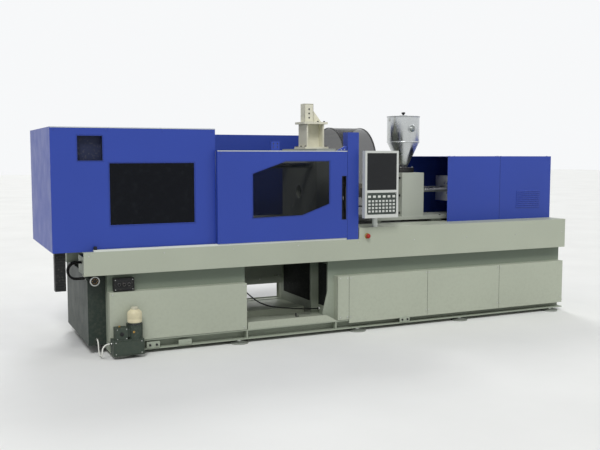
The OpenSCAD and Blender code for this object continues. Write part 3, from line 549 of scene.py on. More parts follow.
class Paints:
    """The machine's finishes, by where they are used."""

    blue = Enamel("cover_blue", (42, 66, 156), 0.4, rub=0.22, dust=0.1)
    # painted shade: shade=0.62 darkens the base frame in the recess under the fascias
    base = Enamel("base_grey", (150, 158, 143), 0.5, shade=0.62)
    sheet = Enamel("cover_grey", (166, 172, 156), 0.46, dust=0.18)
    cast = Enamel("casting_grey", (176, 181, 170), 0.55, peel=150.0, depth=0.0006, edge=0.004, dust=0.3)
    cream = Enamel("riser_cream", (221, 219, 200), 0.44, dust=0.12)
    # also the pale strips along the top edges of the clamp cover and the front door, which are painted
    # highlights
    light = Enamel("trim_light", (205, 210, 204), 0.4, dust=0.1)
    shell = Enamel("panel_grey", (196, 199, 195), 0.5, peel=700.0, dust=0.1)
    black = Enamel("end_black", (34, 46, 40), 0.5, dust=0.3, under=(120, 124, 118))
    motor = Enamel("motor_black", (30, 32, 34), 0.46, peel=260.0, depth=0.0003, dust=0.25)
    pump = Enamel("pump_grey", (56, 66, 58), 0.5, peel=240.0, depth=0.0003, dust=0.16, gloss=0.25)
    iron = Metal("pad_iron", (148, 152, 145), 0.52, tarnish=0.35, edge=0.0014)
    steel = Metal("ground_steel", (176, 178, 178), 0.3, grain=Grain.ALONG)
    turned = Metal("turned_steel", (168, 170, 172), 0.28, grain=Grain.ACROSS)
    link = Metal("link_steel", (128, 132, 136), 0.38, grain=Grain.UPRIGHT, tarnish=0.28)
    dark = Metal("black_oxide", (58, 58, 60), 0.42, tarnish=0.2)
    zinc = Metal("zinc_screw", (188, 190, 186), 0.32)
    brass = Metal("brass", (190, 150, 82), 0.34)
    stainless = Metal("hopper_steel", (196, 199, 200), 0.24, grain=Grain.ACROSS, tarnish=0.06)
    band = Metal("band_steel", (168, 158, 138), 0.36, grain=Grain.ALONG, tarnish=0.4)
    barrel = Metal("barrel_steel", (120, 112, 104), 0.4, grain=Grain.ACROSS, tarnish=0.5)
    bar = Threaded("tie_bar_chrome", (176, 180, 184), 0.2, start=-2.3, end=-1.72)
    plastic = Moulded("black_plastic", (26, 27, 28), 0.48)
    # painted shade: the dark navy sheet that lines the clamp cover's pocket
    shade_liner = Moulded("pocket_shade_liner", (30, 37, 64), 0.56)
    rubber = Moulded("seal_rubber", (20, 23, 34), 0.62)
    hose = Moulded("hose_black", (22, 22, 23), 0.56)
    white = Moulded("hose_white", (222, 222, 216), 0.38)
    tank = Moulded("tank_plastic", (204, 196, 164), 0.36, sheen=0.1)
    cap = Moulded("tank_cap", (188, 186, 166), 0.42)
    red = Moulded("button_red", (150, 34, 24), 0.34, depth=0.00003)
    yellow = Moulded("ring_yellow", (150, 122, 44), 0.5)
    # also the locating ring and bolt-hole rims on the fixed platen, as a painted highlight
    key = Moulded("key_light", (206, 209, 204), 0.42)
    pad = Moulded("keypad_dark", (58, 66, 62), 0.5)
    # dark seams, and painted shade: near-black sheets that stand for slots, louvre gaps and openings which
    # are not cut
    shade_gap = Moulded("seam_shadow", (24, 27, 26), 0.8)
    clamp_pane = Smoked("smoked_clamp", (8, 11, 18), 0.05, cover=0.97, gloss=0.12)
    door_pane = Smoked("smoked_door", (8, 11, 14), 0.05, cover=0.62, gloss=0.1)
    guard_pane = Smoked("smoked_guard", (14, 16, 20), 0.05, cover=0.6, gloss=0.4)
    glass = Smoked("sight_glass", (120, 132, 128), 0.03, cover=0.35, gloss=0.5)
    screen = Smoked("screen_glass", (9, 12, 16), 0.08, cover=1.0, gloss=0.35)


@dataclass(frozen=True)
class Fastener:
    """A screw or a bolt, by what shows of it."""

    radius: float
    height: float
    finish: Finish
    head: Head = Head.BUTTON


class Bolts:
    """The machine's fasteners, by where they are used."""

    cover = Fastener(6.5, 2.4, Paints.blue)
    drive_cover = Fastener(6.5, 3.0, Paints.blue)
    door = Fastener(6.0, 2.4, Paints.blue)
    post = Fastener(6.0, 3.0, Paints.blue)
    base = Fastener(6.5, 3.2, Paints.zinc)
    sheet = Fastener(6.0, 3.0, Paints.zinc)
    wall = Fastener(8.0, 5.0, Paints.zinc)
    bright = Fastener(9.0, 6.0, Paints.zinc)
    foot = Fastener(4.5, 2.4, Paints.zinc)
    pump = Fastener(4.0, 2.2, Paints.zinc)
    socket = Fastener(3.6, 2.2, Paints.zinc)
    keypad = Fastener(3.4, 1.8, Paints.zinc)
    latch = Fastener(3.2, 1.8, Paints.zinc)
    rail = Fastener(10.0, 7.0, Paints.dark, Head.HEX)
    pad = Fastener(22.0, 8.0, Paints.zinc, Head.HEX)
    bracket = Fastener(5.0, 3.0, Paints.zinc, Head.HEX)
    anchor = Fastener(9.0, 5.0, Paints.zinc, Head.HEX)
    clamp = Fastener(4.0, 4.0, Paints.zinc, Head.HEX)
    terminal = Fastener(4.0, 4.0, Paints.brass, Head.HEX)
    nut = Fastener(4.5, 4.0, Paints.zinc, Head.SOCKET)
    bar_nut = Fastener(5.0, 5.0, Paints.zinc, Head.SOCKET)
    throat = Fastener(7.0, 7.0, Paints.zinc, Head.SOCKET)
    runner = Fastener(5.0, 3.0, Paints.dark, Head.SOCKET)
    flange = Fastener(5.0, 5.0, Paints.dark, Head.SOCKET)
    seat = Fastener(7.0, 6.0, Paints.dark, Head.SOCKET)
    pusher = Fastener(7.0, 7.0, Paints.dark, Head.SOCKET)
    shoe = Fastener(9.0, 8.0, Paints.dark, Head.SOCKET)
    plate = Fastener(9.0, 9.0, Paints.dark, Head.SOCKET)
    riser = Fastener(9.0, 10.0, Paints.dark, Head.SOCKET)
    tail = Fastener(10.0, 9.0, Paints.dark, Head.SOCKET)
    block = Fastener(11.0, 11.0, Paints.dark, Head.SOCKET)
    platen = Fastener(14.0, 14.0, Paints.dark, Head.SOCKET)


def rounded(form: Form, edges: Sequence[bmesh.types.BMEdge], offset: float, segments: int = 2) -> None:
    """Round some of a form's edges."""
    bmesh.ops.bevel(form, geom=edges, offset=offset, segments=segments, profile=0.5,
                    affect="EDGES", material=-1)


def thickened(form: Form, normal: Normal, span: Span) -> None:
    """Give a flat form its thickness.

    Args:
        form: The form, which lies at the span's first face.
        normal: The axis of its thickness.
        span: Its two faces along that axis.
    """
    both = bmesh.ops.extrude_face_region(form, geom=form.faces[:])["geom"]
    moved = [item for item in both if isinstance(item, bmesh.types.BMVert)]
    bmesh.ops.translate(form, vec=normal.vector(span[1] - span[0]), verts=moved)
    bmesh.ops.recalc_face_normals(form, faces=form.faces)


class Shape:
    """A piece in the making, in millimetres of the machine's layout."""

    sharp_angle: float = 36.0
    socket_insets: Span = (0.34, 0.04)
    socket_depth: float = 0.45

    def __init__(self) -> None:
        """Start with nothing."""
        self.mesh = bmesh.new()
        self.finishes: List[Finish] = []

    def take(self, form: Form, finish: Finish, place: Optional[Matrix] = None) -> None:
        """Add a form to the piece, and free it.

        Args:
            form: The form, as a mesh of its own.
            finish: What it is finished in.
            place: Where it goes.
        """
        if place is not None:
            bmesh.ops.transform(form, matrix=place, verts=form.verts)
        if finish not in self.finishes:
            self.finishes.append(finish)
        for face in form.faces:
            face.material_index = self.finishes.index(finish)
        held = bpy.data.meshes.new("form")
        form.to_mesh(held)
        form.free()
        self.mesh.from_mesh(held)
        bpy.data.meshes.remove(held)

    def brick(self, size: Point, place: Matrix, finish: Finish, bevel: float = 0.0) -> None:
        """Add a block that may be turned.

        Args:
            size: Its three measures.
            place: Where its middle goes.
            finish: What it is finished in.
            bevel: How far its edges are rounded.
        """
        form = bmesh.new()
        bmesh.ops.create_cube(form, size=1.0)
        bmesh.ops.scale(form, vec=size, verts=form.verts)
        if bevel > 0.0:
            rounded(form, form.edges[:], bevel)
        self.take(form, finish, place)

    def block(self, x: Span, y: Span, z: Span, finish: Finish, bevel: float = 0.0) -> None:
        """Add a block between two places on each axis."""
        middle = [(low + high) / 2 for low, high in (x, y, z)]
        self.brick((x[1] - x[0], y[1] - y[0], z[1] - z[0]), Matrix.Translation(middle), finish, bevel)

    def rod(self, start: Point, end: Point, radius: float, finish: Finish, tip: Optional[float] = None,
            sides: int = 32, bevel: float = 0.0) -> None:
        """Add a round bar or a cone.

        Args:
            start: The middle of its first end.
            end: The middle of its other end.
            radius: Its radius at the start.
            finish: What it is finished in.
            tip: Its radius at the end, where that differs.
            sides: How many flats its round has.
            bevel: How far its rims are rounded.
        """
        run = Vector(end) - Vector(start)
        form = bmesh.new()
        bmesh.ops.create_cone(form, cap_ends=True, segments=sides, radius1=radius,
                              radius2=radius if tip is None else tip, depth=run.length)
        if bevel > 0.0:
            rims = [edge for edge in form.edges if abs(edge.verts[0].co.z - edge.verts[1].co.z) < 1e-6]
            rounded(form, rims, bevel)
        self.take(form, finish, Matrix.Translation((Vector(start) + Vector(end)) / 2) @ turned(run))

    def lathe(self, centre: Point, axis: Point, profile: Sequence[Span], finish: Finish,
              sides: int = 40, closed: bool = False) -> None:
        """Add a turned form.

        Args:
            centre: Where its profile's zero lies.
            axis: The axis it is turned about.
            profile: Its radius and place along the axis, point by point.
            finish: What it is finished in.
            sides: How many flats its round has.
            closed: Whether the profile runs back to its start, as a ring's does.
        """
        form = bmesh.new()
        line = [form.verts.new((radius, 0.0, along)) for radius, along in profile]
        edges = [form.edges.new(pair) for pair in zip(line, line[1:])]
        if closed:
            edges.append(form.edges.new((line[-1], line[0])))
        bmesh.ops.spin(form, geom=line + edges, cent=(0, 0, 0), axis=UP, dvec=(0, 0, 0),
                       angle=2 * math.pi, steps=sides, use_merge=True, use_duplicate=False)
        bmesh.ops.remove_doubles(form, verts=form.verts, dist=0.0005)
        bmesh.ops.recalc_face_normals(form, faces=form.faces)
        self.take(form, finish, Matrix.Translation(centre) @ turned(axis))

    def ring(self, centre: Point, axis: Point, radii: Span, along: Span, finish: Finish,
             sides: int = 48) -> None:
        """Add a flat ring between two radii and two places along its axis."""
        self.lathe(centre, axis, rect(radii, along), finish, sides, closed=True)

    def plate(self, outline: Sequence[Span], normal: Normal, span: Span, finish: Finish,
              bevel: float = 0.0) -> None:
        """Add a flat outline with a thickness.

        Args:
            outline: Its corners, in the two axes it lies along.
            normal: The axis of its thickness.
            span: Its two faces along that axis.
            finish: What it is finished in.
            bevel: How far its edges are rounded.
        """
        form = bmesh.new()
        form.faces.new([form.verts.new(normal.point(u, v, span[0])) for u, v in outline])
        thickened(form, normal, span)
        if bevel > 0.0:
            rounded(form, form.edges[:], bevel)
        self.take(form, finish)

    def border(self, outline: Sequence[Span], width: float, span: Span, finish: Finish,
               normal: Normal = Normal.Y) -> None:
        """Add a strip that follows an outline on its inside.

        Args:
            outline: The strip's outer corners.
            width: How wide it is.
            span: Its two faces along the axis of its thickness.
            finish: What it is finished in.
            normal: That axis.
        """
        form = bmesh.new()
        inner = form.faces.new([form.verts.new(normal.point(u, v, span[0])) for u, v in outline])
        bmesh.ops.inset_region(form, faces=[inner], thickness=width, use_even_offset=True, use_boundary=True)
        bmesh.ops.delete(form, geom=[inner], context="FACES_ONLY")
        thickened(form, normal, span)
        rounded(form, form.edges[:], min(0.8, width / 5), segments=1)
        self.take(form, finish)

    def screws(self, places: Iterable[Point], axis: Point, kind: Fastener) -> None:
        """Add a row of fasteners.

        Args:
            places: Where each one meets its surface.
            axis: The way that the heads point.
            kind: What they are.
        """
        way = Vector(axis).normalized()
        flats, round_share, has_socket = kind.head.value
        for place in places:
            form = bmesh.new()
            bmesh.ops.create_cone(form, cap_ends=True, segments=flats, radius1=kind.radius,
                                  radius2=kind.radius, depth=kind.height)
            rim = [edge for edge in form.edges if min(vert.co.z for vert in edge.verts) > 0]
            rounded(form, rim, kind.height * round_share)
            if has_socket:
                top = max(form.faces, key=lambda face: face.calc_center_median().z)
                for share in self.socket_insets:
                    bmesh.ops.inset_region(form, faces=[top], thickness=kind.radius * share)
                bmesh.ops.translate(form, vec=(0, 0, -kind.height * self.socket_depth), verts=top.verts)
            middle = Vector(place) + way * kind.height / 2
            self.take(form, kind.finish, Matrix.Translation(middle) @ turned(way))

    def done(self, name: str, body: str, replaces: Sequence[str] = ()) -> bpy.types.Object:
        """Make the piece an object in metres, and let it ride on its body.

        Args:
            name: The piece's name.
            body: The body that it moves with.
            replaces: The solids that it stands for.

        Returns:
            The finished object.
        """
        bmesh.ops.translate(self.mesh, vec=(-LENGTH / 2, SHIFT_Y, 0), verts=self.mesh.verts)
        bmesh.ops.scale(self.mesh, vec=(MM, MM, MM), verts=self.mesh.verts)
        mesh = bpy.data.meshes.new(name)
        self.mesh.to_mesh(mesh)
        self.mesh.free()
        for finish in self.finishes:
            mesh.materials.append(finish.material())
        mesh.shade_smooth()
        mesh.set_sharp_from_angle(angle=math.radians(self.sharp_angle))
        piece = bpy.data.objects.new(name, mesh)
        bpy.context.scene.collection.objects.link(piece)
        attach(piece, body)
        if replaces:
            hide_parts(*replaces)
        log.info("%s: %d faces on %s", name, len(mesh.polygons), body)
        return piece


def tube(name: str, points: Sequence[Point], radius: float, finish: Finish, body: str) -> bpy.types.Object:
    """Make a smooth tube through points.

    Args:
        name: The piece's name.
        points: The points, in millimetres of the machine's layout.
        radius: The tube's radius in millimetres.
        finish: What it is finished in.
        body: The body that it rides on.

    Returns:
        The tube, as a curve of one open spline.
    """
    curve = bpy.data.curves.new(name, "CURVE")
    curve.dimensions = "3D"
    curve.resolution_u = 5
    curve.bevel_depth = radius * MM
    curve.bevel_resolution = 5
    curve.use_fill_caps = True
    spline = curve.splines.new("BEZIER")
    spline.bezier_points.add(len(points) - 1)
    for knot, point in zip(spline.bezier_points, points):
        knot.co = at(*point)
        knot.handle_left_type = "AUTO"
        knot.handle_right_type = "AUTO"
    curve.materials.append(finish.material())
    piece = bpy.data.objects.new(name, curve)
    bpy.context.scene.collection.objects.link(piece)
    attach(piece, body)
    log.info("%s: tube of %d points on %s", name, len(points), body)
    return piece


def dress(finish: Finish, *nodes: str) -> None:
    """Give CAD nodes their finish.

    Args:
        finish: The finish.
        nodes: The nodes' names.
    """
    for name in nodes:
        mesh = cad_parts[name].data
        mesh.materials.clear()
        mesh.materials.append(finish.material())
        log.info("%s: dressed in %s", name, finish.name)


@dataclass
class Studio:
    """The floor, the light and the camera."""

    eye: Point = (-850.0, -6847.0, 1575.0)
    turn: float = -25.0
    pitch: float = -5.0
    view: float = 41.0
    sky: float = 0.42
    soft: float = 18.0
    lamps: Sequence[Tuple[str, float, float, float]] = (
        ("key", 1.6, 40.0, -28.0), ("fill", 0.4, 58.0, 52.0), ("back", 0.75, 46.0, 165.0))

    @staticmethod
    def stand(name: str, data: bpy.types.ID, tilt: float, turn: float) -> bpy.types.Object:
        """Put a camera or a lamp on its stand.

        Args:
            name: The object's name.
            data: The camera or the lamp.
            tilt: How far it is tilted up from straight down, in degrees.
            turn: How far it is turned about the vertical, in degrees.

        Returns:
            The object.
        """
        held = bpy.data.objects.new(name, data)
        held.rotation_euler = (math.radians(tilt), 0.0, math.radians(turn))
        bpy.context.scene.collection.objects.link(held)
        return held

    def camera(self) -> None:
        """Put the camera where the photograph was taken from."""
        lens = bpy.data.cameras.new("camera")
        lens.sensor_fit = "HORIZONTAL"
        lens.angle = math.radians(self.view)
        lens.clip_end = 200.0
        held = self.stand("camera", lens, 90.0 + self.pitch, self.turn)
        held.location = at(*self.eye)
        bpy.context.scene.camera = held

    def light(self) -> None:
        """Light the machine softly from the front, the side and behind."""
        for name, strength, tilt, turn in self.lamps:
            lamp = bpy.data.lights.new(name, "SUN")
            lamp.energy = strength
            lamp.angle = math.radians(self.soft)
            self.stand(name, lamp, tilt, turn)

    def backdrop(self) -> None:
        """Show a white background to the camera, glass and metal, and a softer sky to the rest."""
        world = bpy.data.worlds.new("studio")
        bpy.context.scene.world = world
        world.use_nodes = True
        world.node_tree.nodes.clear()
        tree = Tree(world.node_tree)
        rays = tree.node("LightPath", {}).outputs
        seen = rays["Is Camera Ray"]
        for kind in ("Is Glossy Ray", "Is Transmission Ray"):
            step = tree.node("Math", {0: seen, 1: rays[kind]})
            step.operation = "ADD"
            step.use_clamp = True
            seen = step.outputs[0]
        sky = tree.node("Background", {"Color": (1.0, 1.0, 1.0, 1.0), "Strength": self.sky})
        white = tree.node("Background", {"Color": (0.93, 0.94, 0.95, 1.0)})
        both = tree.node("MixShader", {0: seen, 1: sky.outputs[0], 2: white.outputs[0]})
        tree.node("OutputWorld", {0: both.outputs[0]})

    def floor(self) -> None:
        """Lay a pale floor under the machine."""
        form = bmesh.new()
        bmesh.ops.create_grid(form, x_segments=2, y_segments=2, size=60.0)
        mesh = bpy.data.meshes.new("floor")
        form.to_mesh(mesh)
        form.free()
        graph = Graph("floor_paint")
        cloud = graph.spread(graph.noise(0.8, 5.0), 0.3, 0.7)
        graph.shade(Base_Color=graph.mix(cloud, linear((226, 227, 225)), linear((232, 233, 231))),
                    Roughness=graph.spread(graph.noise(5.0, 4.0), 0.3, 0.7, (0.62, 0.75)))
        mesh.materials.append(graph.material)
        piece = bpy.data.objects.new("floor", mesh)
        bpy.context.scene.collection.objects.link(piece)

    def build(self) -> None:
        """Build the camera first, then the light and the floor."""
        self.camera()
        self.light()
        self.backdrop()
        self.floor()
        bpy.context.scene.view_settings.view_transform = "Standard"


@dataclass
class Cords:
    """The white lubrication hose and the cable across the bay, with their fittings."""

    hose_start: Point = (335.0, -710.0, 0.0)
    hose_r: float = 5.0
    hose_route: Sequence[Point] = (
        (75, 0, 120), (62, 0, 120), (50, 0, 120), (31, 0, 116), (15, 0, 105), (4, 0, 89), (0, 0, 70),
        (0, 4, 51), (0, 15, 35), (0, 31, 24), (0, 50, 20), (0, 75, 20), (0, 100, 20), (0, 119, 24),
        (0, 135, 35), (0, 146, 51), (0, 150, 70), (0, 154, 89), (0, 165, 105), (0, 181, 116),
        (0, 200, 120), (0, 210, 120))
    cable_start: Point = (1560.0, -330.0, 0.0)
    cable_r: float = 6.0
    cable_route: Sequence[Point] = (
        (0, 0, 420), (18, 0, 420), (36, 0, 417), (58, 0, 408), (84, 1, 391), (112, 2, 368), (142, 3, 341),
        (176, 4, 312), (214, 6, 284), (256, 8, 260), (303, 10, 240), (355, 13, 224), (411, 16, 211),
        (470, 19, 201), (531, 22, 192), (592, 25, 184), (651, 27, 177), (706, 29, 171), (757, 30, 167),
        (800, 30, 165), (840, 30, 165))
    nut: Tuple[float, float, float] = (9.0, 9.0, 0.8)
    sleeve: Tuple[float, float, float, float] = (17.0, 7.0, 5.6, 0.0)
    gland: Tuple[float, float, float] = (12.0, 14.0, 1.0)
    collar: Tuple[float, float, float, float] = (24.0, 11.0, 7.0, 0.6)

    @staticmethod
    def route(start: Point, hops: Sequence[Point]) -> List[Point]:
        """The points of a route, from where it starts."""
        return [(start[0] + x, start[1] + y, start[2] + z) for x, y, z in hops]

    @staticmethod
    def length(points: Sequence[Point]) -> float:
        """The length of a route in metres."""
        return sum((Vector(b) - Vector(a)).length for a, b in zip(points, points[1:])) * MM

    @staticmethod
    def fitting(shape: Shape, point: Point, way: Point, nut: Sequence[float], sleeve: Sequence[float],
                finish: Finish) -> None:
        """Put a nut and its sleeve on a cord's end.

        Args:
            shape: The piece that they join.
            point: Where the cord ends.
            way: The way that they point.
            nut: Where the nut ends along the cord, its radius and the rounding of its rims.
            sleeve: Where the sleeve ends, its radius there and at its tip, and its rounding.
            finish: What the nut is finished in.
        """
        near = tuple(Vector(point) + Vector(way) * nut[0])
        far = tuple(Vector(point) + Vector(way) * sleeve[0])
        shape.rod(point, near, nut[1], finish, sides=6, bevel=nut[2])
        shape.rod(near, far, sleeve[1], Paints.plastic, tip=sleeve[2], bevel=sleeve[3])

    def hose(self) -> None:
        """Make the hose from the lubrication unit to the base's end, with its two nuts."""
        points = self.route(self.hose_start, self.hose_route)
        piece = tube("white_hose", points, self.hose_r, Paints.white, "frame")
        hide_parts("lube_hose")
        ends = Shape()
        first = points[0]
        for point, way in ((first, LEFT), (points[-1], FRONT)):
            self.fitting(ends, point, way, self.nut, self.sleeve, Paints.zinc)
        nuts = ends.done("hose_nuts", "frame")
        self.length(points)

    def cable(self) -> None:
        """Make the black cable across the bay, with its glands."""
        points = self.route(self.cable_start, self.cable_route)
        piece = tube("bay_cable_run", points, self.cable_r, Paints.hose, "frame")
        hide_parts("bay_cable")
        ends = Shape()
        for point, way in ((points[0], RIGHT), (points[-1], LEFT)):
            self.fitting(ends, point, way, self.gland, self.collar, Paints.key)
        glands = ends.done("cable_glands", "frame")
        self.length(points)

    def build(self) -> None:
        """Make both cords."""
        self.hose()
        self.cable()


@dataclass
class Base:
    """The welded base, its covers, pads and fascias."""

    face: float = -650.0
    back: float = 650.0
    left: Span = (410.0, 1550.0)
    right: Span = (2410.0, 4980.0)
    screw_z: Span = (138.0, 487.0)
    screw_in: float = 24.0
    back_x: Span = (3300.0, 4150.0)
    fascia_x: Span = (260.0, 4960.0)
    fascia_z: float = 800.0
    seam_z: Span = (84.0, 506.0)
    plate_y: Span = (-653.0, -644.0)
    plate_foot: float = 41.0
    pad_top: float = 21.0
    bay_z: Span = (204.0, 596.0)
    pads_x: Sequence[float] = (500.0, 1490.0, 2620.0, 3735.0, 4850.0)
    pad_y: float = 620.0
    seams: Sequence[float] = (2521.0, 3350.0, 4180.0)
    rail_plates: Sequence[Tuple[float, float, float, bool]] = (
        (696, 803, 92, True), (957, 1067, 85, False), (3050, 3157, 92, True))
    bay_back: float = 565.0
    bay_wall: float = 2399.0
    bay_shade_openings: Sequence[Span] = ((-445.0, -280.0), (-96.0, 515.0))

    def paint(self) -> None:
        """Finish the base's solids."""
        dress(Paints.base, "base_frame")
        dress(Paints.sheet, "base_covers", "base_fascias", "drop_tray")
        dress(Paints.black, "base_end_panel")
        dress(Paints.iron, "levelling_pads")
        dress(Paints.light, "door_rails")
        dress(Paints.steel, "guide_rails")

    def cover_screws(self) -> None:
        """Screw the base covers down at their corners and beside their seams."""
        shape = Shape()
        ends = [*wider(self.left, -self.screw_in), *wider(self.right, -self.screw_in)]
        seams = [x for seam in self.seams for x in about(seam, 16)]
        shape.screws(spots(ends + seams, self.face, self.screw_z), FRONT, Bolts.base)
        shape.screws(spots((ends[2], *self.back_x, ends[3]), self.back, self.screw_z), BACK, Bolts.base)
        shape.screws(spots(grid(*self.fascia_x, 9), self.face, self.fascia_z), FRONT, Bolts.sheet)
        for x in self.seams:
            shape.block(about(x, 1.2), (self.face - 0.6, self.face + 0.4), self.seam_z, Paints.shade_gap)
        shape.done("base_cover_screws", "frame")

    def rails(self) -> None:
        """Add the plates and the bolts on the bottom rails."""
        shape = Shape()
        for x0, x1, high, bolts in self.rail_plates:
            shape.block((x0, x1), self.plate_y, (self.plate_foot, high), Paints.base, 2.0)
            if bolts:
                shape.screws(spots((x0 + 26, x1 - 26), self.plate_y[0], 66), FRONT, Bolts.rail)
        shape.screws(spots(self.pads_x, (-self.pad_y, self.pad_y), self.pad_top), UP, Bolts.pad)
        shape.done("rail_plates_and_nuts", "frame")

    def bay(self) -> None:
        """Add the screws on the bay's walls, near-black plates on its right wall as painted shade standing
        for openings, and the hook on its tray.
        """
        shape = Shape()
        shape.screws(spots((1780, 2160), self.bay_back, (560, 330)), FRONT, Bolts.wall)
        shape.screws(spots((2330, 2365), self.bay_back, 361), FRONT, Bolts.bright)
        # painted shade: thin near-black plates on the bay's right wall stand for openings into the dark
        # inside of the base
        for shade_gap in self.bay_shade_openings:
            shape.block((self.bay_wall, self.bay_wall + 1.4), shade_gap, self.bay_z, Paints.shade_gap, 0.3)
        shape.screws(spots((1650, 2100), -641, 150), FRONT, Bolts.sheet)
        hook = [(2020, 174), (2052, 174), (2052, 181), (2028, 181), (2028, 206), (2020, 206)]
        shape.plate(hook, Normal.Y, about(-600, 6), Paints.dark, 1.0)
        shape.done("bay_screws_and_hook", "frame")

    def build(self) -> None:
        """Dress the base and add its small parts."""
        self.paint()
        self.cover_screws()
        self.rails()
        self.bay()


@dataclass
class Lubrication:
    """The lubrication tank and its pump on the front left base cover."""

    x: float = 590.0
    y: float = -708.0
    tank_z: float = 276.0
    cap_z: float = 377.0
    body: Sequence[Span] = (
        (0, 0.2), (55, 0.2), (57, 3), (57, 24), (55.6, 27), (55.6, 30), (57, 33), (57, 74), (53, 83),
        (44, 91), (36, 97), (34, 101), (0, 101))
    flange_z: float = 262.0
    rib_z: Span = (168.0, 256.0)
    foot_x: Span = (420.0, 640.0)
    foot_z: Span = (36.0, 142.0)
    foot_face: float = -762.0
    box_face: float = -746.0

    def tank(self) -> None:
        """Turn the cream tank with its neck and its ribbed cap."""
        shape = Shape()
        shape.lathe((self.x, self.y, self.tank_z), UP, self.body, Paints.tank, sides=56)
        cap = [(0, 0), (26, 0), (26, 15), (23, 19), (0, 19)]
        shape.lathe((self.x, self.y, self.cap_z), UP, cap, Paints.cap)
        for spot in circle((self.x, self.y), 26, 20):
            shape.rod((*spot, self.cap_z + 2), (*spot, self.cap_z + 14), 1.4, Paints.cap, sides=6)
        shape.done("lube_tank_turned", "frame", ["lube_tank"])

    def pump(self) -> None:
        """Add the pump's flange, ribs, fittings, cable boss and cover screws."""
        shape = Shape()
        shape.ring((self.x, self.y, self.flange_z), UP, (50.4, 56.6), (0, 7), Paints.dark)
        low, high = self.rib_z
        for spot in arc((self.x, self.y), 50.6, range(200, 368, 28)):
            shape.rod((*spot, low), (*spot, high), 2.2, Paints.pump, sides=8)
        inlet = self.x - 20
        shape.rod((inlet, -757.0, 208), (inlet, -763.5, 208), 9, Paints.brass, sides=6, bevel=0.6)
        face = self.foot_face
        shape.border(rect(self.foot_x, self.foot_z), 4.0, (face - 1.6, face), Paints.pump)
        shape.screws(spots(wider(self.foot_x, -10), face, wider(self.foot_z, -8)), FRONT, Bolts.foot)
        shape.screws(spots((445, 516), self.box_face, (158, 232)), FRONT, Bolts.pump)
        shape.rod((480, self.box_face, 196), (480, self.box_face - 6, 196), 15, Paints.plastic, bevel=1.2)
        shape.rod((472, -698, 241), (472, -698, 254), 8, Paints.brass, sides=6, bevel=0.6)
        shape.done("lube_pump_fittings", "frame")

    def build(self) -> None:
        """Dress the pump, and add the tank and the fittings."""
        dress(Paints.pump, "lube_pump")
        self.tank()
        self.pump()


@dataclass
class Services:
    """The sockets, the cable duct and the hose loops at the clamp end."""

    box_x: Span = (456.0, 604.0)
    box_z: Span = (518.0, 606.0)
    plug: Point = (320.0, -545.0, 590.0)
    sockets_x: Sequence[float] = (492.0, 530.0, 568.0)
    wall_x: float = 270.0
    bend_x: float = 200.0
    loop_z: Span = (600.0, 730.0)
    loops_y: Span = (-440.0, -400.0)
    rib: Sequence[Span] = ((6.6, -2.4), (8.9, -1.2), (8.9, 1.2), (6.6, 2.4))
    duct_x: Span = (24.0, 96.0)
    duct_z: Span = (550.0, 810.0)
    duct_face: float = -560.5

    def sockets(self) -> None:
        """Add the round connector's ring and pins, and the socket box's lid."""
        dress(Paints.plastic, "socket_boxes", "cable_duct")
        shape = Shape()
        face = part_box("socket_boxes")[0].y / MM - SHIFT_Y
        shape.border(rect(self.box_x, self.box_z), 5.0, (face - 3, face), Paints.plastic)
        collar = [(9, 0), (15, 0), (15, 6), (12.5, 8), (9, 8)]
        for place in spots(self.sockets_x, face, sum(self.box_z) / 2):
            shape.lathe(place, FRONT, collar, Paints.dark, sides=28, closed=True)
        shape.screws(spots(wider(self.box_x, -6), face, wider(self.box_z, -6)), FRONT, Bolts.socket)
        shape.lathe(self.plug, FRONT, [(30, 0), (39, 0), (39, 5), (36, 7), (30, 7)], Paints.zinc,
                    sides=44, closed=True)
        x, y, z = self.plug
        for pin_x, pin_z in circle((x, z), 19, 8):
            shape.rod((pin_x, y, pin_z), (pin_x, y - 4, pin_z), 2.4, Paints.brass, sides=10)
        shape.done("socket_fittings", "frame")

    def loops(self) -> None:
        """Make the two ribbed hoses that loop out of the base's end."""
        shape = Shape()
        straight = grid(self.bend_x + 3, self.wall_x - 1, 14)
        centre, radius = (self.bend_x, sum(self.loop_z) / 2), (self.loop_z[1] - self.loop_z[0]) / 2
        for y in self.loops_y:
            ribs = [((x, y, z), RIGHT) for z in self.loop_z for x in straight]
            for angle in grid(90, 270, 41):
                x, z = arc(centre, radius, [angle])[0]
                way_x, way_z = arc((0, 0), 1.0, [angle + 90])[0]
                ribs.append(((x, y, z), (way_x, 0.0, way_z)))
            for place, way in ribs:
                shape.lathe(place, way, self.rib, Paints.hose, sides=16)
            for z in self.loop_z:
                shape.rod((self.wall_x - 8, y, z), (self.wall_x, y, z), 13, Paints.zinc, sides=6, bevel=0.8)
        shape.done("ribbed_hoses", "frame", ["hose_loops"])

    def duct(self) -> None:
        """Mark the hanging duct's side with near-black strips, painted shade standing for the slots of
        finger duct.
        """
        shape = Shape()
        # painted shade: the slots are dark strips on the duct's side, not cut
        for z in grid(*self.duct_z, 14):
            shape.block(self.duct_x, about(self.duct_face, 0.7), about(z, 3), Paints.shade_gap)
        shape.done("duct_slots", "frame")

    def build(self) -> None:
        """Dress and build the services."""
        self.sockets()
        self.loops()
        self.duct()


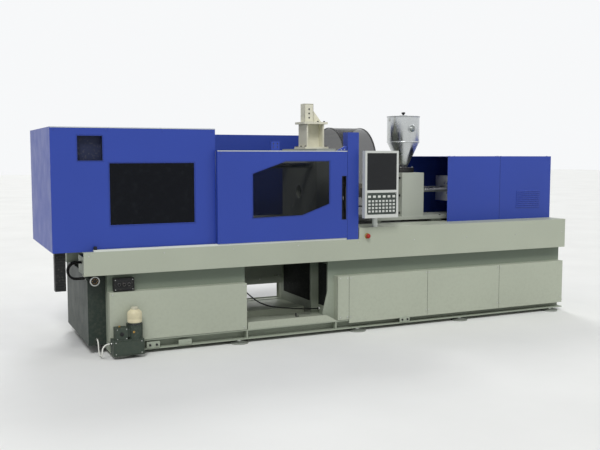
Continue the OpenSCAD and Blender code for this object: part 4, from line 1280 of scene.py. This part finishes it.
@dataclass
class ClampCovers:
    """The blue covers over the clamp, with their window, pocket and trims."""

    face: float = -600.0
    back: float = 600.0
    window_x: Span = (440.0, 1120.0)
    window_z: Span = (1030.0, 1510.0)
    pocket_x: Span = (200.0, 390.0)
    pocket_z: Span = (1530.0, 1720.0)
    pocket_deep: float = 56.8
    shade_liner: float = 1.2
    length: float = 1300.0
    top: float = 1787.0
    screws_x: Sequence[float] = (28.0, 420.0, 860.0, 1272.0)
    screws_z: Span = (852.0, 1762.0)
    rear_x: Sequence[float] = (28.0, 470.0, 910.0, 1352.0)
    rear_z: Span = (860.0, 1762.0)
    rear_seam: Span = (689.0, 691.4)
    vents_x: Span = (170.0, 420.0)
    vents_z: Span = (1360.0, 1520.0)
    roof_x: Sequence[float] = (40.0, 450.0, 860.0, 1270.0)
    roof_y: float = 545.0
    plug_y: float = 300.0

    def paint(self) -> None:
        """Finish the covers' solids."""
        dress(Paints.blue, "clamp_cover_front", "clamp_cover_top", "clamp_cover_end", "clamp_cover_rear")
        dress(Paints.clamp_pane, "clamp_window")

    def front(self) -> None:
        """Add the window's seal, the pocket's lip, a dark navy liner that paints shade into the pocket, a
        pale strip along the top edge as a painted highlight, and the screws of the front cover.
        """
        shape = Shape()
        shape.border(rect(wider(self.window_x, 7), wider(self.window_z, 7)), 14.0,
                     (self.face - 2.6, self.face + 1.0), Paints.rubber)
        shape.border(rect(wider(self.pocket_x, 6), wider(self.pocket_z, 6)), 6.5,
                     (self.face - 2.0, self.face + 1.0), Paints.blue)
        (x0, x1), (z0, z1), floor = self.pocket_x, self.pocket_z, self.face + self.pocket_deep
        # painted shade: the pocket's floor and walls are lined in dark navy
        shape.block(self.pocket_x, (floor - 1.4, floor), self.pocket_z, Paints.shade_liner)
        wall, between = (self.face + self.shade_liner, floor - 0.8), wider(self.pocket_x, -self.shade_liner)
        for x in ((x0, x0 + self.shade_liner), (x1 - self.shade_liner, x1)):
            shape.block(x, wall, self.pocket_z, Paints.shade_liner)
        for z in ((z0, z0 + self.shade_liner), (z1 - self.shade_liner, z1)):
            shape.block(between, wall, z, Paints.shade_liner)
        # painted highlight: a pale strip along the cover's top edge
        shape.block((1, self.length - 1), (self.face - 1.0, self.face + 0.5), (self.top - 7, self.top - 1.0),
                    Paints.light, 0.4)
        shape.screws(spots(self.screws_x, self.face, self.screws_z), FRONT, Bolts.cover)
        shape.done("front_cover_trim", "frame")

    def rear(self) -> None:
        """Add the rear cover's screws, its louvres and its middle seam."""
        shape = Shape()
        shape.screws(spots(self.rear_x, self.back, self.rear_z), BACK, Bolts.cover)
        foot, lip = self.back - 0.5, self.back + 3.6
        for z in grid(*self.vents_z, 9):
            louvre = [(foot, z - 7), (lip, z - 6), (lip, z - 3), (foot, z + 4)]
            shape.plate(louvre, Normal.X, self.vents_x, Paints.blue, 0.5)
        shape.block(self.rear_seam, (self.back - 0.4, self.back + 0.5), (832, self.top - 2), Paints.shade_gap)
        shape.done("rear_cover_trim", "frame")

    def roof(self) -> None:
        """Add the roof's screws, its two plugs and the seam between its two sheets."""
        shape = Shape()
        shape.screws(spots(self.roof_x, about(0, self.roof_y), self.top), UP, Bolts.cover)
        seam = self.length / 2
        shape.block(about(seam, 1.2), (-574, 574), (self.top - 0.4, self.top + 0.5), Paints.shade_gap)
        plug = [(0, 0), (17, 0), (17, 4), (13, 6), (0, 6)]
        for y in about(0, self.plug_y):
            shape.lathe((seam, y, self.top), UP, plug, Paints.plastic, sides=28)
        shape.done("roof_trim", "frame")

    def build(self) -> None:
        """Dress the covers and add their small parts."""
        self.paint()
        self.front()
        self.rear()
        self.roof()


@dataclass
class Doors:
    """The sliding doors, their windows and the guard posts."""

    pane: Sequence[Span] = (
        (1610, 1050), (2060, 1060), (2320, 1152), (2320, 1520), (1910, 1520), (1610, 1417))
    face: float = -650.0
    back: float = 650.0
    screw_z: Span = (870.0, 1588.0)
    front_x: Sequence[float] = (1330.0, 1700.0, 2100.0, 2470.0)
    rear_x: Sequence[float] = (1440.0, 1960.0, 2470.0)
    front_pull: Tuple[Span, Span] = ((2443.0, 2489.0), (1008.0, 1392.0))
    rear_pull: Tuple[Span, Span] = ((1423.0, 1479.0), (1096.0, 1304.0))
    rear_seal: Tuple[Span, Span] = ((1733.0, 2057.0), (1283.0, 1507.0))
    bracket_y: Span = (-642.0, -630.0)
    latch_y: Span = (-644.0, -620.0)
    posts_x: Span = (2520.0, 2590.0)
    posts_z: Sequence[float] = (880.0, 1320.0, 1740.0)
    header_x: Sequence[float] = (1440.0, 1800.0, 2160.0, 2460.0)
    header_y: float = 600.0

    def paint(self) -> None:
        """Finish the doors' solids."""
        dress(Paints.blue, "front_door", "rear_door", "guard_posts")
        dress(Paints.door_pane, "front_window", "rear_window")
        dress(Paints.plastic, "front_handle")

    def front(self) -> None:
        """Add the front door's seal, a pale strip along its top edge as a painted highlight, bracket, screws
        and pull latch.
        """
        shape = Shape()
        shape.border(grown(self.pane, 1.02), 13.0, (self.face - 2.6, self.face + 1.0), Paints.rubber)
        # painted highlight: a pale strip along the door's top edge
        shape.block((1301, 2496), (self.face - 0.9, self.face + 0.5), (1603, 1609.4), Paints.light, 0.4)
        bracket = [(2396, 1609), (2495, 1609), (2495, 1652), (2476, 1652)]
        shape.plate(bracket, Normal.Y, self.bracket_y, Paints.blue, 1.2)
        screws = [(x, self.bracket_y[0], z) for x, z in ((2470, 1622), (2440, 1618))]
        shape.screws(screws, FRONT, Bolts.bracket)
        shape.screws(spots((1800, 1836), -638, (1640, 1668)), FRONT, Bolts.runner)
        shape.screws(spots(self.front_x, self.face, self.screw_z), FRONT, Bolts.door)
        shape.done("front_door_trim", "front_door")
        grip = Shape()
        grip.border(rect(*self.front_pull), 4.0, (self.face - 1.6, self.face + 1.0), Paints.plastic)
        grip.block(about(2459, 7), self.latch_y, about(1198, 18), Paints.dark, 2.0)
        grip.screws(spots(2459, self.latch_y[0], about(1198, 8)), FRONT, Bolts.latch)
        grip.done("front_pull_latch", "front_door")

    def rear(self) -> None:
        """Add the rear door's seal, screws and pull rim."""
        shape = Shape()
        inside = self.back - 1.0
        shape.border(rect(*self.rear_seal), 13.0, (inside, self.back + 2.6), Paints.rubber)
        shape.screws(spots(self.rear_x, self.back, self.screw_z), BACK, Bolts.door)
        shape.border(rect(*self.rear_pull), 4.0, (inside, self.back + 1.8), Paints.plastic)
        shape.done("rear_door_trim", "rear_door")

    def posts(self) -> None:
        """Add the screws of the posts and the rear header, and the stops at the ends of the rails."""
        shape = Shape()
        for side, way in ((-1, FRONT), (1, BACK)):
            shape.screws(spots(self.posts_x, side * self.back, self.posts_z), way, Bolts.post)
            shape.block((302, 326), sided(side, 612, 640), (846, 872), Paints.rubber, 3.0)
        shape.screws(spots(self.header_x, self.header_y, self.posts_z[-1]), BACK, Bolts.sheet)
        shape.done("post_screws_and_stops", "frame")

    def build(self) -> None:
        """Dress the doors and add their small parts."""
        self.paint()
        self.front()
        self.rear()
        self.posts()


@dataclass
class Riser:
    """The cream bracket that carries a take-out robot."""

    x: float = 2340.0
    foot: float = 1630.0
    foot_bolts: Tuple[Span, Sequence[float], float] = ((14.0, 225.0), (-95.0, 0.0, 95.0), 20.0)
    ledge_bolts: Tuple[Span, Sequence[float], float] = ((150.0, 215.0), (-80.0, 80.0), 250.0)
    post_x: float = 75.0
    post_y: float = -45.0
    screws_z: Span = (290.0, 370.0)
    rim_half: Span = (43.0, 82.0)
    rim_z: float = 334.0
    rim_y: Span = (-48.0, -44.5)

    def build(self) -> None:
        """Dress the riser, bolt it down and rim its post's front."""
        dress(Paints.cream, "robot_riser")
        shape = Shape()
        for (near, far), across, up in (self.foot_bolts, self.ledge_bolts):
            shape.screws(spots((self.x + near, self.x + far), across, self.foot + up), UP, Bolts.riser)
        post = self.x + self.post_x
        low, high = self.screws_z
        shape.screws(spots(post, self.post_y, grid(self.foot + low, self.foot + high, 3)), FRONT, Bolts.seat)
        rim = rect(about(post, self.rim_half[0]), about(self.foot + self.rim_z, self.rim_half[1]))
        shape.border(rim, 12.0, self.rim_y, Paints.cream)
        shape.done("riser_bolts", "frame")


@dataclass
class Clamp:
    """The toggle clamp: platens, tie bars, links, screws and drives."""

    pitch: float = 265.0
    tail_back: float = 400.0
    tail_face: float = 590.0
    shoe_x: float = 1211.0
    fixed_face: float = 2330.0
    fixed_back: float = 2520.0
    collar_r: float = 32.0
    screw_r: float = 24.0
    motor_z: float = AXIS_Z - 240.0
    belt_r: float = 90.0
    chain_r: float = 77.6
    mould_pitch: float = 280.0
    mould_far: float = 330.0
    mould_near: float = 60.0
    wheel_r: float = 84.0

    def paint(self) -> None:
        """Finish the clamp's solids."""
        dress(Paints.cast, "fixed_platen", "moving_platen", "tailstock")
        dress(Paints.bar, "tie_bars")
        dress(Paints.dark, "tie_bar_nuts", "mould_height_drive", "anchor_pins")
        dress(Paints.steel, "guide_rods", "crosshead", "ejector_plate")
        dress(Paints.motor, "ejector_motor")
        for row in ("upper", "lower"):
            dress(Paints.link, f"{row}_rear_link", f"{row}_front_link", f"{row}_cross_link")

    def corners(self) -> List[Span]:
        """The four tie bars' places across the machine."""
        return [(y * self.pitch, AXIS_Z + z * self.pitch) for y in (-1, 1) for z in (-1, 1)]

    def wheel(self, shape: Shape, z: float, hub: float) -> None:
        """Add a toothed belt wheel with its cap and its hub.

        Args:
            shape: The piece that they join.
            z: The height of its axis.
            hub: The hub's radius.
        """
        teeth = bmesh.new()
        bmesh.ops.create_cone(teeth, cap_ends=True, segments=88, radius1=self.wheel_r,
                              radius2=self.wheel_r, depth=40)
        walls = [face for face in teeth.faces if abs(face.normal.z) < 0.5]
        bmesh.ops.inset_individual(teeth, faces=walls[::2], thickness=0.5, depth=-2.4)
        shape.take(teeth, Paints.dark, Matrix.Translation((self.tail_back - 42, 0, z)) @ turned(RIGHT))
        shape.ring((self.tail_back - 62, 0, z), LEFT, (28, 44), (-0.2, 0.6), Paints.steel, sides=36)
        shape.rod((self.tail_back - 22, 0, z), (self.tail_back, 0, z), hub, Paints.dark, bevel=1.0)

    def drive(self) -> None:
        """Build the ball screw with its thread, and the belt drive and motor behind it."""
        shape = Shape()
        start, crest = self.tail_back - 62, self.screw_r
        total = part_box("clamp_drive")[1].x / MM + LENGTH / 2 - start
        first = self.tail_face + 10 - start
        profile = [(0.0, 0.0), (crest, 0.0), (crest, first)]
        profile += thread(crest, crest - 1.4, 1.2, 6.0, steps(first + 2, total - 22, 10))
        profile += [(crest, total - 2), (crest - 2, total - 0.1), (0.0, total - 0.1)]
        shape.lathe((start, 0, AXIS_Z), RIGHT, profile, Paints.turned, sides=32)
        self.wheel(shape, AXIS_Z, 60.0)
        self.wheel(shape, self.motor_z, 34.0)
        belt = arc((0, AXIS_Z), self.belt_r, range(0, 181, 6))
        belt += arc((0, self.motor_z), self.belt_r, range(180, 361, 6))
        shape.border(belt, 5.0, (self.tail_back - 60, self.tail_back - 24), Paints.hose, Normal.X)
        back = self.tail_back - 230
        body = [(0, 0), (58, 0), (64, 4), (64, 26), (70, 30), (70, 168), (0, 168)]
        shape.lathe((back, 0, self.motor_z), RIGHT, body, Paints.motor, sides=44)
        for y, z in circle((0, self.motor_z), 62, 12):
            shape.block((back + 38, back + 160), about(y, 4), about(z, 4), Paints.motor, 1.2)
        shape.block((back + 60, back + 130), (-30, 30), about(self.motor_z + 66, 2), Paints.plastic, 1.0)
        shape.done("clamp_drive_dressed", "tailstock", ["clamp_drive"])

    def chain(self) -> None:
        """Lay the chain's links round the four mould height nuts, and notch the nuts."""
        shape = Shape()
        reach, bend = self.pitch, self.chain_r
        path: List[Tuple[float, float, float]] = []
        for place, out in product(grid(-reach, reach, 29), (reach + bend, -reach - bend)):
            path += [(place, out, 0.0), (out, place, 90.0)]
        for quarter, (y, z) in enumerate(((1, 1), (-1, 1), (-1, -1), (1, -1))):
            for angle in [90 * (quarter + part / 7) for part in range(1, 7)]:
                path.append((*arc((y * reach, z * reach), bend, [angle])[0], angle + 90))
        x = self.tail_back - 48
        for y, z, turn in path:
            place = Matrix.Translation((x, y, AXIS_Z + z)) @ Matrix.Rotation(math.radians(turn), 4, "X")
            shape.brick((9.4, 13.0, 5.4), place, Paints.link)
        for corner in self.corners():
            for spot in circle(corner, 73, 24):
                shape.rod((x - 3.8, *spot), (x + 3.8, *spot), 2.6, Paints.steel, sides=6)
            shape.screws(ahead(self.tail_back - 60, circle(corner, 50, 6, 30)), LEFT, Bolts.nut)
        shape.done("mould_height_chain", "tailstock")

    def anchors(self) -> None:
        """Cap both ends of the two anchor pins."""
        low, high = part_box("anchor_pins")
        x = (low.x + high.x) / 2 / MM + LENGTH / 2
        for name, edge, inward in (("upper", high.z, -1), ("lower", low.z, 1)):
            shape = Shape()
            for end, way, inset in ((low.y, FRONT, 0.2), (high.y, BACK, -0.2)):
                place = (x, end / MM - SHIFT_Y + inset, edge / MM + inward * self.collar_r)
                shape.screws([place], way, Bolts.anchor)
            shape.done(f"{name}_anchor_caps", "tailstock")

    def fixed(self) -> None:
        """Add the locating ring and the rims of the bolt holes, in pale matte as a painted highlight, and
        the bolts of the fixed platen.
        """
        shape = Shape()
        # painted highlight: the locating ring and the bolt holes' rims are pale matte instead of bare steel,
        # so they show bright through the dark door window
        shape.ring((self.fixed_face, 0, AXIS_Z), LEFT, (60.2, 76), (-0.2, 0.4), Paints.key)
        half, far, near = self.mould_pitch / 2, self.mould_far, self.mould_near
        for y, z in ((half, half), (far, near), (near, far)):
            for place in spots(self.fixed_face, (-y, y), about(AXIS_Z, z)):
                shape.ring(place, LEFT, (8.6, 13.0), (-0.2, 0.3), Paints.key, sides=20)
        shape.screws(spots(self.fixed_back, (-335, 335), (880, 980)), RIGHT, Bolts.platen)
        for corner in self.corners():
            shape.screws(ahead(self.fixed_back + 55, circle(corner, 52, 6)), RIGHT, Bolts.bar_nut)
        shape.done("fixed_platen_fittings", "frame")

    def moving(self) -> None:
        """Add the moving platen's slide wipers and their bolts."""
        shape = Shape()
        shape.screws(spots(1386.8, (-355, 355), 835), RIGHT, Bolts.shoe)
        wiper = (self.shoe_x, self.shoe_x + 1.6)
        for side in (-1, 1):
            shape.block(wiper, sided(side, 292, 368), (806.5, 840), Paints.rubber, 0.5)
        shape.done("moving_platen_wipers", "moving_platen")

    def tail(self) -> None:
        """Add the tailstock's bolts and the flange that its ball screw turns in."""
        shape = Shape()
        shape.screws(spots(self.tail_back, (-340, 340), (900, 1120, 1340, 1560)), LEFT, Bolts.tail)
        flange = [(40, -0.2), (72, -0.2), (72, 10), (68, 12), (40, 12)]
        shape.lathe((self.tail_face, 0, AXIS_Z), RIGHT, flange, Paints.steel, sides=44, closed=True)
        shape.screws(ahead(self.tail_face + 12, circle((0, AXIS_Z), 58, 6)), RIGHT, Bolts.flange)
        shape.done("tailstock_fittings", "tailstock")

    def build(self) -> None:
        """Dress the clamp and add its small parts."""
        self.paint()
        self.drive()
        self.chain()
        self.anchors()
        self.fixed()
        self.moving()
        self.tail()


@dataclass
class Injection:
    """The injection unit on its carriage, and the cover over its drives."""

    band_x: float = 2780.0
    band_pitch: float = 138.0
    bands: int = 4
    drive_x: float = 4350.0
    drive_y: float = 190.0
    screw_x: float = 3600.0
    hopper: Point = (3475.0, 0.0, 1400.0)
    hopper_r: float = 160.0
    hopper_top: float = 1950.0
    foot_half: float = 80.0
    foot_top: float = 50.0
    slot_z: Span = (19.6, 30.8)
    sight_z: float = 430.0
    sight_r: Span = (33.0, 42.0)
    hinge_half: float = 30.0
    knob_z: float = 14.5
    cover_x: Span = (3745.0, 4970.0)
    cover_seam: float = 4350.0
    cover_half: float = 420.0
    cover_top: float = 1560.0
    vents_x: Span = (4560.0, 4860.0)
    vents_z: Span = (1050.0, 1210.0)
    guard_x: Span = (2640.5, 2963.5)
    guard_wide: float = 16.0
    guard_r: float = 331.0
    guard_feet: Span = (931.0, 962.0)
    guard_z: float = 1500.0
    handle_x: Span = (2760.0, 2860.0)
    handle_y: float = -350.0
    handle_z: float = 1100.0

    def paint(self) -> None:
        """Finish the unit's solids."""
        dress(Paints.cast, "injection_carriage")
        dress(Paints.barrel, "barrel")
        dress(Paints.band, "heater_bands")
        dress(Paints.steel, "pusher_plate")
        dress(Paints.turned, "screw")
        dress(Paints.stainless, "hopper_lid", "hopper_shutter")
        dress(Paints.blue, "injection_cover")
        dress(Paints.guard_pane, "purge_guard")

    def heaters(self) -> None:
        """Add the heater bands' clamps and terminals, and the wires between them."""
        shape = Shape()
        wires: List[Point] = []
        for start in [self.band_x + number * self.band_pitch for number in range(self.bands)]:
            for x in (start + 22, start + 100):
                shape.block(about(x, 9), (-8, 8), (AXIS_Z - 80, AXIS_Z - 68.2), Paints.band, 1.2)
                shape.screws([(x, -8, AXIS_Z - 75)], FRONT, Bolts.clamp)
            shape.block((start + 44, start + 78), (-82, -67.5), about(AXIS_Z, 16), Paints.key, 2.0)
            shape.screws(spots((start + 52, start + 70), -82, AXIS_Z), FRONT, Bolts.terminal)
            for x in (start + 4, start + 118):
                shape.ring((x, 0, AXIS_Z), RIGHT, (68.1, 69.4), (-1.6, 1.6), Paints.steel)
            wires += [(start + x, -y, AXIS_Z + z) for x, y, z in ((61, 84, 20), (90, 92, 34), (130, 96, 30))]
        shape.done("band_clamps", "carriage")
        wires += [(3300, -110, AXIS_Z + 20), (3344, -130, AXIS_Z + 4)]
        tube("heater_wires", wires, 3.4, Paints.hose, "carriage")

    def drives(self) -> None:
        """Build the two ball screws with their threads and motors."""
        shape = Shape()
        profile = [(0.0, 0.0), (20.0, 0.0)] + thread(20.0, 18.4, 1.4, 7.0, steps(6, 730, 10))
        profile += [(20.0, 831.0), (0.0, 831.0)]
        body = [(0, 0), (78, 0), (78, 18), (72, 20), (72, 176), (76, 180), (76, 212), (70, 220), (0, 220)]
        for y in (-self.drive_y, self.drive_y):
            shape.lathe((self.screw_x, y, AXIS_Z), RIGHT, profile, Paints.turned, sides=28)
            shape.lathe((self.drive_x + 80, y, AXIS_Z), RIGHT, body, Paints.motor, sides=48)
            for spot in circle((y, AXIS_Z), 72, 16):
                start, end = (self.drive_x + 102, *spot), (self.drive_x + 256, *spot)
                shape.rod(start, end, 4.2, Paints.motor, sides=8)
            shape.block((self.drive_x + 190, self.drive_x + 250), about(y, 24), (AXIS_Z + 62, AXIS_Z + 77.5),
                        Paints.plastic, 2.0)
        shape.done("injection_drive_dressed", "carriage", ["injection_drive"])

    def feed(self) -> None:
        """Build the hopper with its rim, foot, sight glass, clips and hinge."""
        shape = Shape()
        (x, y, z), r, top = self.hopper, self.hopper_r, self.hopper_top
        high, middle, steel = top - z, z + self.sight_z, Paints.stainless
        wall = [(24, 50), (42, 50), (r, 301), (r, high - 8), (r + 3, high - 6), (r + 3, high - 2), (r, high),
                (r - 3, high), (r - 3, 299), (38, 52), (24, 52)]
        shape.lathe((x, y, z), UP, wall, steel, sides=64, closed=True)
        bead = [(r - 1, 294), (r + 2.4, 297), (r + 2.4, 305), (r - 1, 308)]
        shape.lathe((x, y, z), UP, bead, steel, sides=64)
        foot, (slot_low, slot_high) = about(x, self.foot_half), self.slot_z
        for low, up in ((0, slot_low), (slot_high, self.foot_top)):
            shape.block(foot, about(y, self.foot_half), (z + low, z + up), Paints.dark, 2.0)
        cheek = (z + slot_low - 0.6, z + slot_high + 0.6)
        for side in (-1, 1):
            shape.block(foot, about(y + side * 57.8, 22.2), cheek, Paints.dark, 0.5)
            shape.screws(spots((x + 66, x - 66), y + side * 66, z + self.foot_top), UP, Bolts.throat)
            shape.block(about(x + side * (r + 1), 4), about(y, 11), (top - 46, top - 14), Paints.zinc, 1.5)
        pane_r, rim_r = self.sight_r
        shape.rod((x, y - r + 2, middle), (x, y - r - 3.5, middle), rim_r, steel, sides=40, bevel=1.0)
        shape.rod((x, y - r - 3.4, middle), (x, y - r - 4.4, middle), pane_r, Paints.glass, sides=40)
        left, right = about(x, self.hinge_half)
        for ear in (about(left, 4), about(right, 4)):
            shape.block(ear, (y + r - 6, y + r + 22), (top - 20, top - 2), steel, 1.0)
            shape.block(ear, (y + r + 9, y + r + 22), (top - 3, top + 8), steel, 1.0)
        shape.rod((left, y + r + 16, top + 2), (right, y + r + 16, top + 2), 3, Paints.dark, sides=16)
        shape.done("hopper_turned", "carriage", ["hopper"])

    def knob(self) -> None:
        """Turn the lid's knob."""
        shape = Shape()
        x, y, _ = self.hopper
        profile = [(0, 0), (10, 0), (9, 8), (14, 14), (19, 20), (19, 27), (14, 31), (0, 32)]
        shape.lathe((x, y, self.hopper_top + self.knob_z), UP, profile, Paints.plastic, sides=32)
        shape.done("lid_knob", "hopper_lid")

    def cover(self) -> None:
        """Add the drive cover's screws, louvres and seams."""
        shape = Shape()
        half, top, seam = self.cover_half, self.cover_top, about(self.cover_seam, 1.2)
        first, last = self.cover_x
        for side, way in ((-1, FRONT), (1, BACK)):
            places = spots((first, self.cover_seam, last), side * half, (960, top - 30))
            shape.screws(places, way, Bolts.drive_cover)
            foot, lip = side * (half - 0.5), side * (half + 6)
            for z in grid(*self.vents_z, 9):
                louvre = [(foot, z - 8), (lip, z - 7), (lip, z - 3), (foot, z + 5)]
                shape.plate(louvre, Normal.X, self.vents_x, Paints.blue, 0.6)
            shape.block(seam, sided(side, half - 0.4, half + 0.5), (932, top - 1), Paints.shade_gap)
        shape.block(seam, (-half, half), (top - 0.4, top + 0.5), Paints.shade_gap)
        places = spots((first, *about(self.cover_seam, 30), last), about(0, half - 30), top)
        shape.screws(places, UP, Bolts.drive_cover)
        shape.done("drive_cover_trim", "frame")

    def guard(self) -> None:
        """Add the purge guard's two end frames and its handle."""
        shape = Shape()
        wide, top = self.guard_wide, self.guard_z
        size = (wide, 2 * self.guard_r * math.sin(math.radians(3.0)) + 0.6, 2.6)
        for x in self.guard_x:
            for side, foot in zip((-1, 1), self.guard_feet):
                shape.block((x, x + wide), sided(side, 329.6, 332.5), (foot, top), Paints.dark, 0.8)
            for angle in grid(3, 177, 30):
                spot = arc((0, top), self.guard_r, [angle])[0]
                turn = Matrix.Rotation(math.radians(angle - 90), 4, "X")
                shape.brick(size, Matrix.Translation((x + wide / 2, *spot)) @ turn, Paints.dark)
        (x0, x1), y, z = self.handle_x, self.handle_y, self.handle_z
        shape.rod((x0, y, z), (x1, y, z), 7, Paints.plastic, sides=20, bevel=2.0)
        for x in (x0 + 8, x1 - 8):
            shape.rod((x, -329, z), (x, y, z), 6, Paints.plastic, sides=16)
        shape.done("purge_guard_frame", "purge_guard")

    def carriage(self) -> None:
        """Add the bolts of the hopper block and of the drive plate."""
        shape = Shape()
        shape.screws(spots(3350, (-150, 150), (1010, 1180, 1350)), LEFT, Bolts.block)
        shape.screws(spots(self.drive_x, (-235, -110, 110, 235), (1000, 1380)), LEFT, Bolts.plate)
        shape.screws(spots((3040, 3200, 3800, 3900, 4320), (-180, 180), 975), UP, Bolts.plate)
        shape.done("carriage_bolts", "carriage")

    def pusher(self) -> None:
        """Add the pusher plate's bolts and the rib round its motor."""
        shape = Shape()
        shape.screws(ahead(4050, circle((0, AXIS_Z), 70, 8)), LEFT, Bolts.pusher)
        rib = [(86, 30), (88.0, 34), (88.0, 60), (86, 64)]
        shape.lathe((4120, 0, AXIS_Z), RIGHT, rib, Paints.motor)
        shape.done("pusher_bolts", "pusher_plate")

    def build(self) -> None:
        """Dress the unit and add its small parts."""
        self.paint()
        self.heaters()
        self.drives()
        self.feed()
        self.knob()
        self.cover()
        self.guard()
        self.carriage()
        self.pusher()


@dataclass
class Controls:
    """The operating panel with its screen and keys, and the stop button."""

    x: Span = (2625.0, 2965.0)
    low: float = 1020.0
    face: float = -740.0
    keys: Tuple[int, int] = (8, 4)
    soft_keys: int = 6
    button: Span = (2700.0, 855.0)
    button_y: float = -665.0
    ring_y: float = -656.0

    def paint(self) -> None:
        """Finish the panel's solids."""
        dress(Paints.shell, "panel_housing")
        dress(Paints.screen, "panel_screen")
        dress(Paints.light, "panel_arm")

    def panel(self) -> None:
        """Add the screen's bezel, the keypad with its keys, and behind it a plate with near-black strips,
        painted shade for louvre slots.
        """
        shape = Shape()
        low, face, inner = self.low, self.face, wider(self.x, -46)
        shape.border(rect(wider(self.x, -20.2), (low + 245.2, low + 569.8)), 12.0, (face + 0.4, face + 3.0),
                     Paints.plastic)
        keypad = (low + 30.4, low + 221.6)
        shape.block(wider(self.x, -20.4), (face + 3.6, face + 5.2), keypad, Paints.pad, 0.6)
        cap = (face + 0.6, face + 4.4)
        for z, x in product(grid(low + 58, low + 148, self.keys[1]), grid(*inner, self.keys[0])):
            shape.block(about(x, 11), cap, about(z, 9), Paints.shell, 1.4)
        for x in grid(*inner, self.soft_keys):
            shape.block(about(x, 14), cap, (low + 178, low + 198), Paints.key, 1.4)
        shape.screws(spots(wider(self.x, -27), face + 3.6, (low + 37, low + 215)), FRONT, Bolts.keypad)
        shape.block(wider(self.x, -60), (face + 50, face + 52), (low + 300, low + 500), Paints.plastic, 0.8)
        # painted shade: the louvre slots are dark strips on the plate, not cut
        for z in grid(low + 320, low + 480, 9):
            shape.block(wider(self.x, -70), (face + 51.4, face + 53), about(z, 3), Paints.shade_gap, 0.3)
        shape.done("panel_keys_and_bezel", "operating_panel")

    def stop(self) -> None:
        """Turn the stop button's head and its ring."""
        x, z = self.button
        head = Shape()
        stem = [(0, -30), (9.9, -30), (9.9, 0)]
        dome = [(18, 0), (21, 2.5), (21, 10), (17, 15.5), (9, 18.4), (0, 19)]
        head.lathe((x, self.button_y, z), FRONT, stem + dome, Paints.red)
        head.done("stop_head", "stop_button", ["stop_button"])
        ring = Shape()
        cone = [(16.6, -5.8), (25, -5.8), (25, -4.6), (16.6, -0.4)]
        ring.lathe((x, self.ring_y, z), FRONT, cone, Paints.yellow, closed=True)
        ring.done("stop_ring", "frame")

    def build(self) -> None:
        """Dress the panel, and add its keys and the stop button."""
        self.paint()
        self.panel()
        self.stop()


def main() -> None:
    """Build the scene in order."""
    logging.basicConfig(level=logging.INFO, format="%(name)s: %(message)s")
    Studio().build()
    Cords().build()
    for kind in (Base, Lubrication, Services, ClampCovers, Doors, Riser, Clamp, Injection, Controls):
        log.info("building %s", kind.__name__)
        kind().build()


if __name__ == "__main__":
    main()
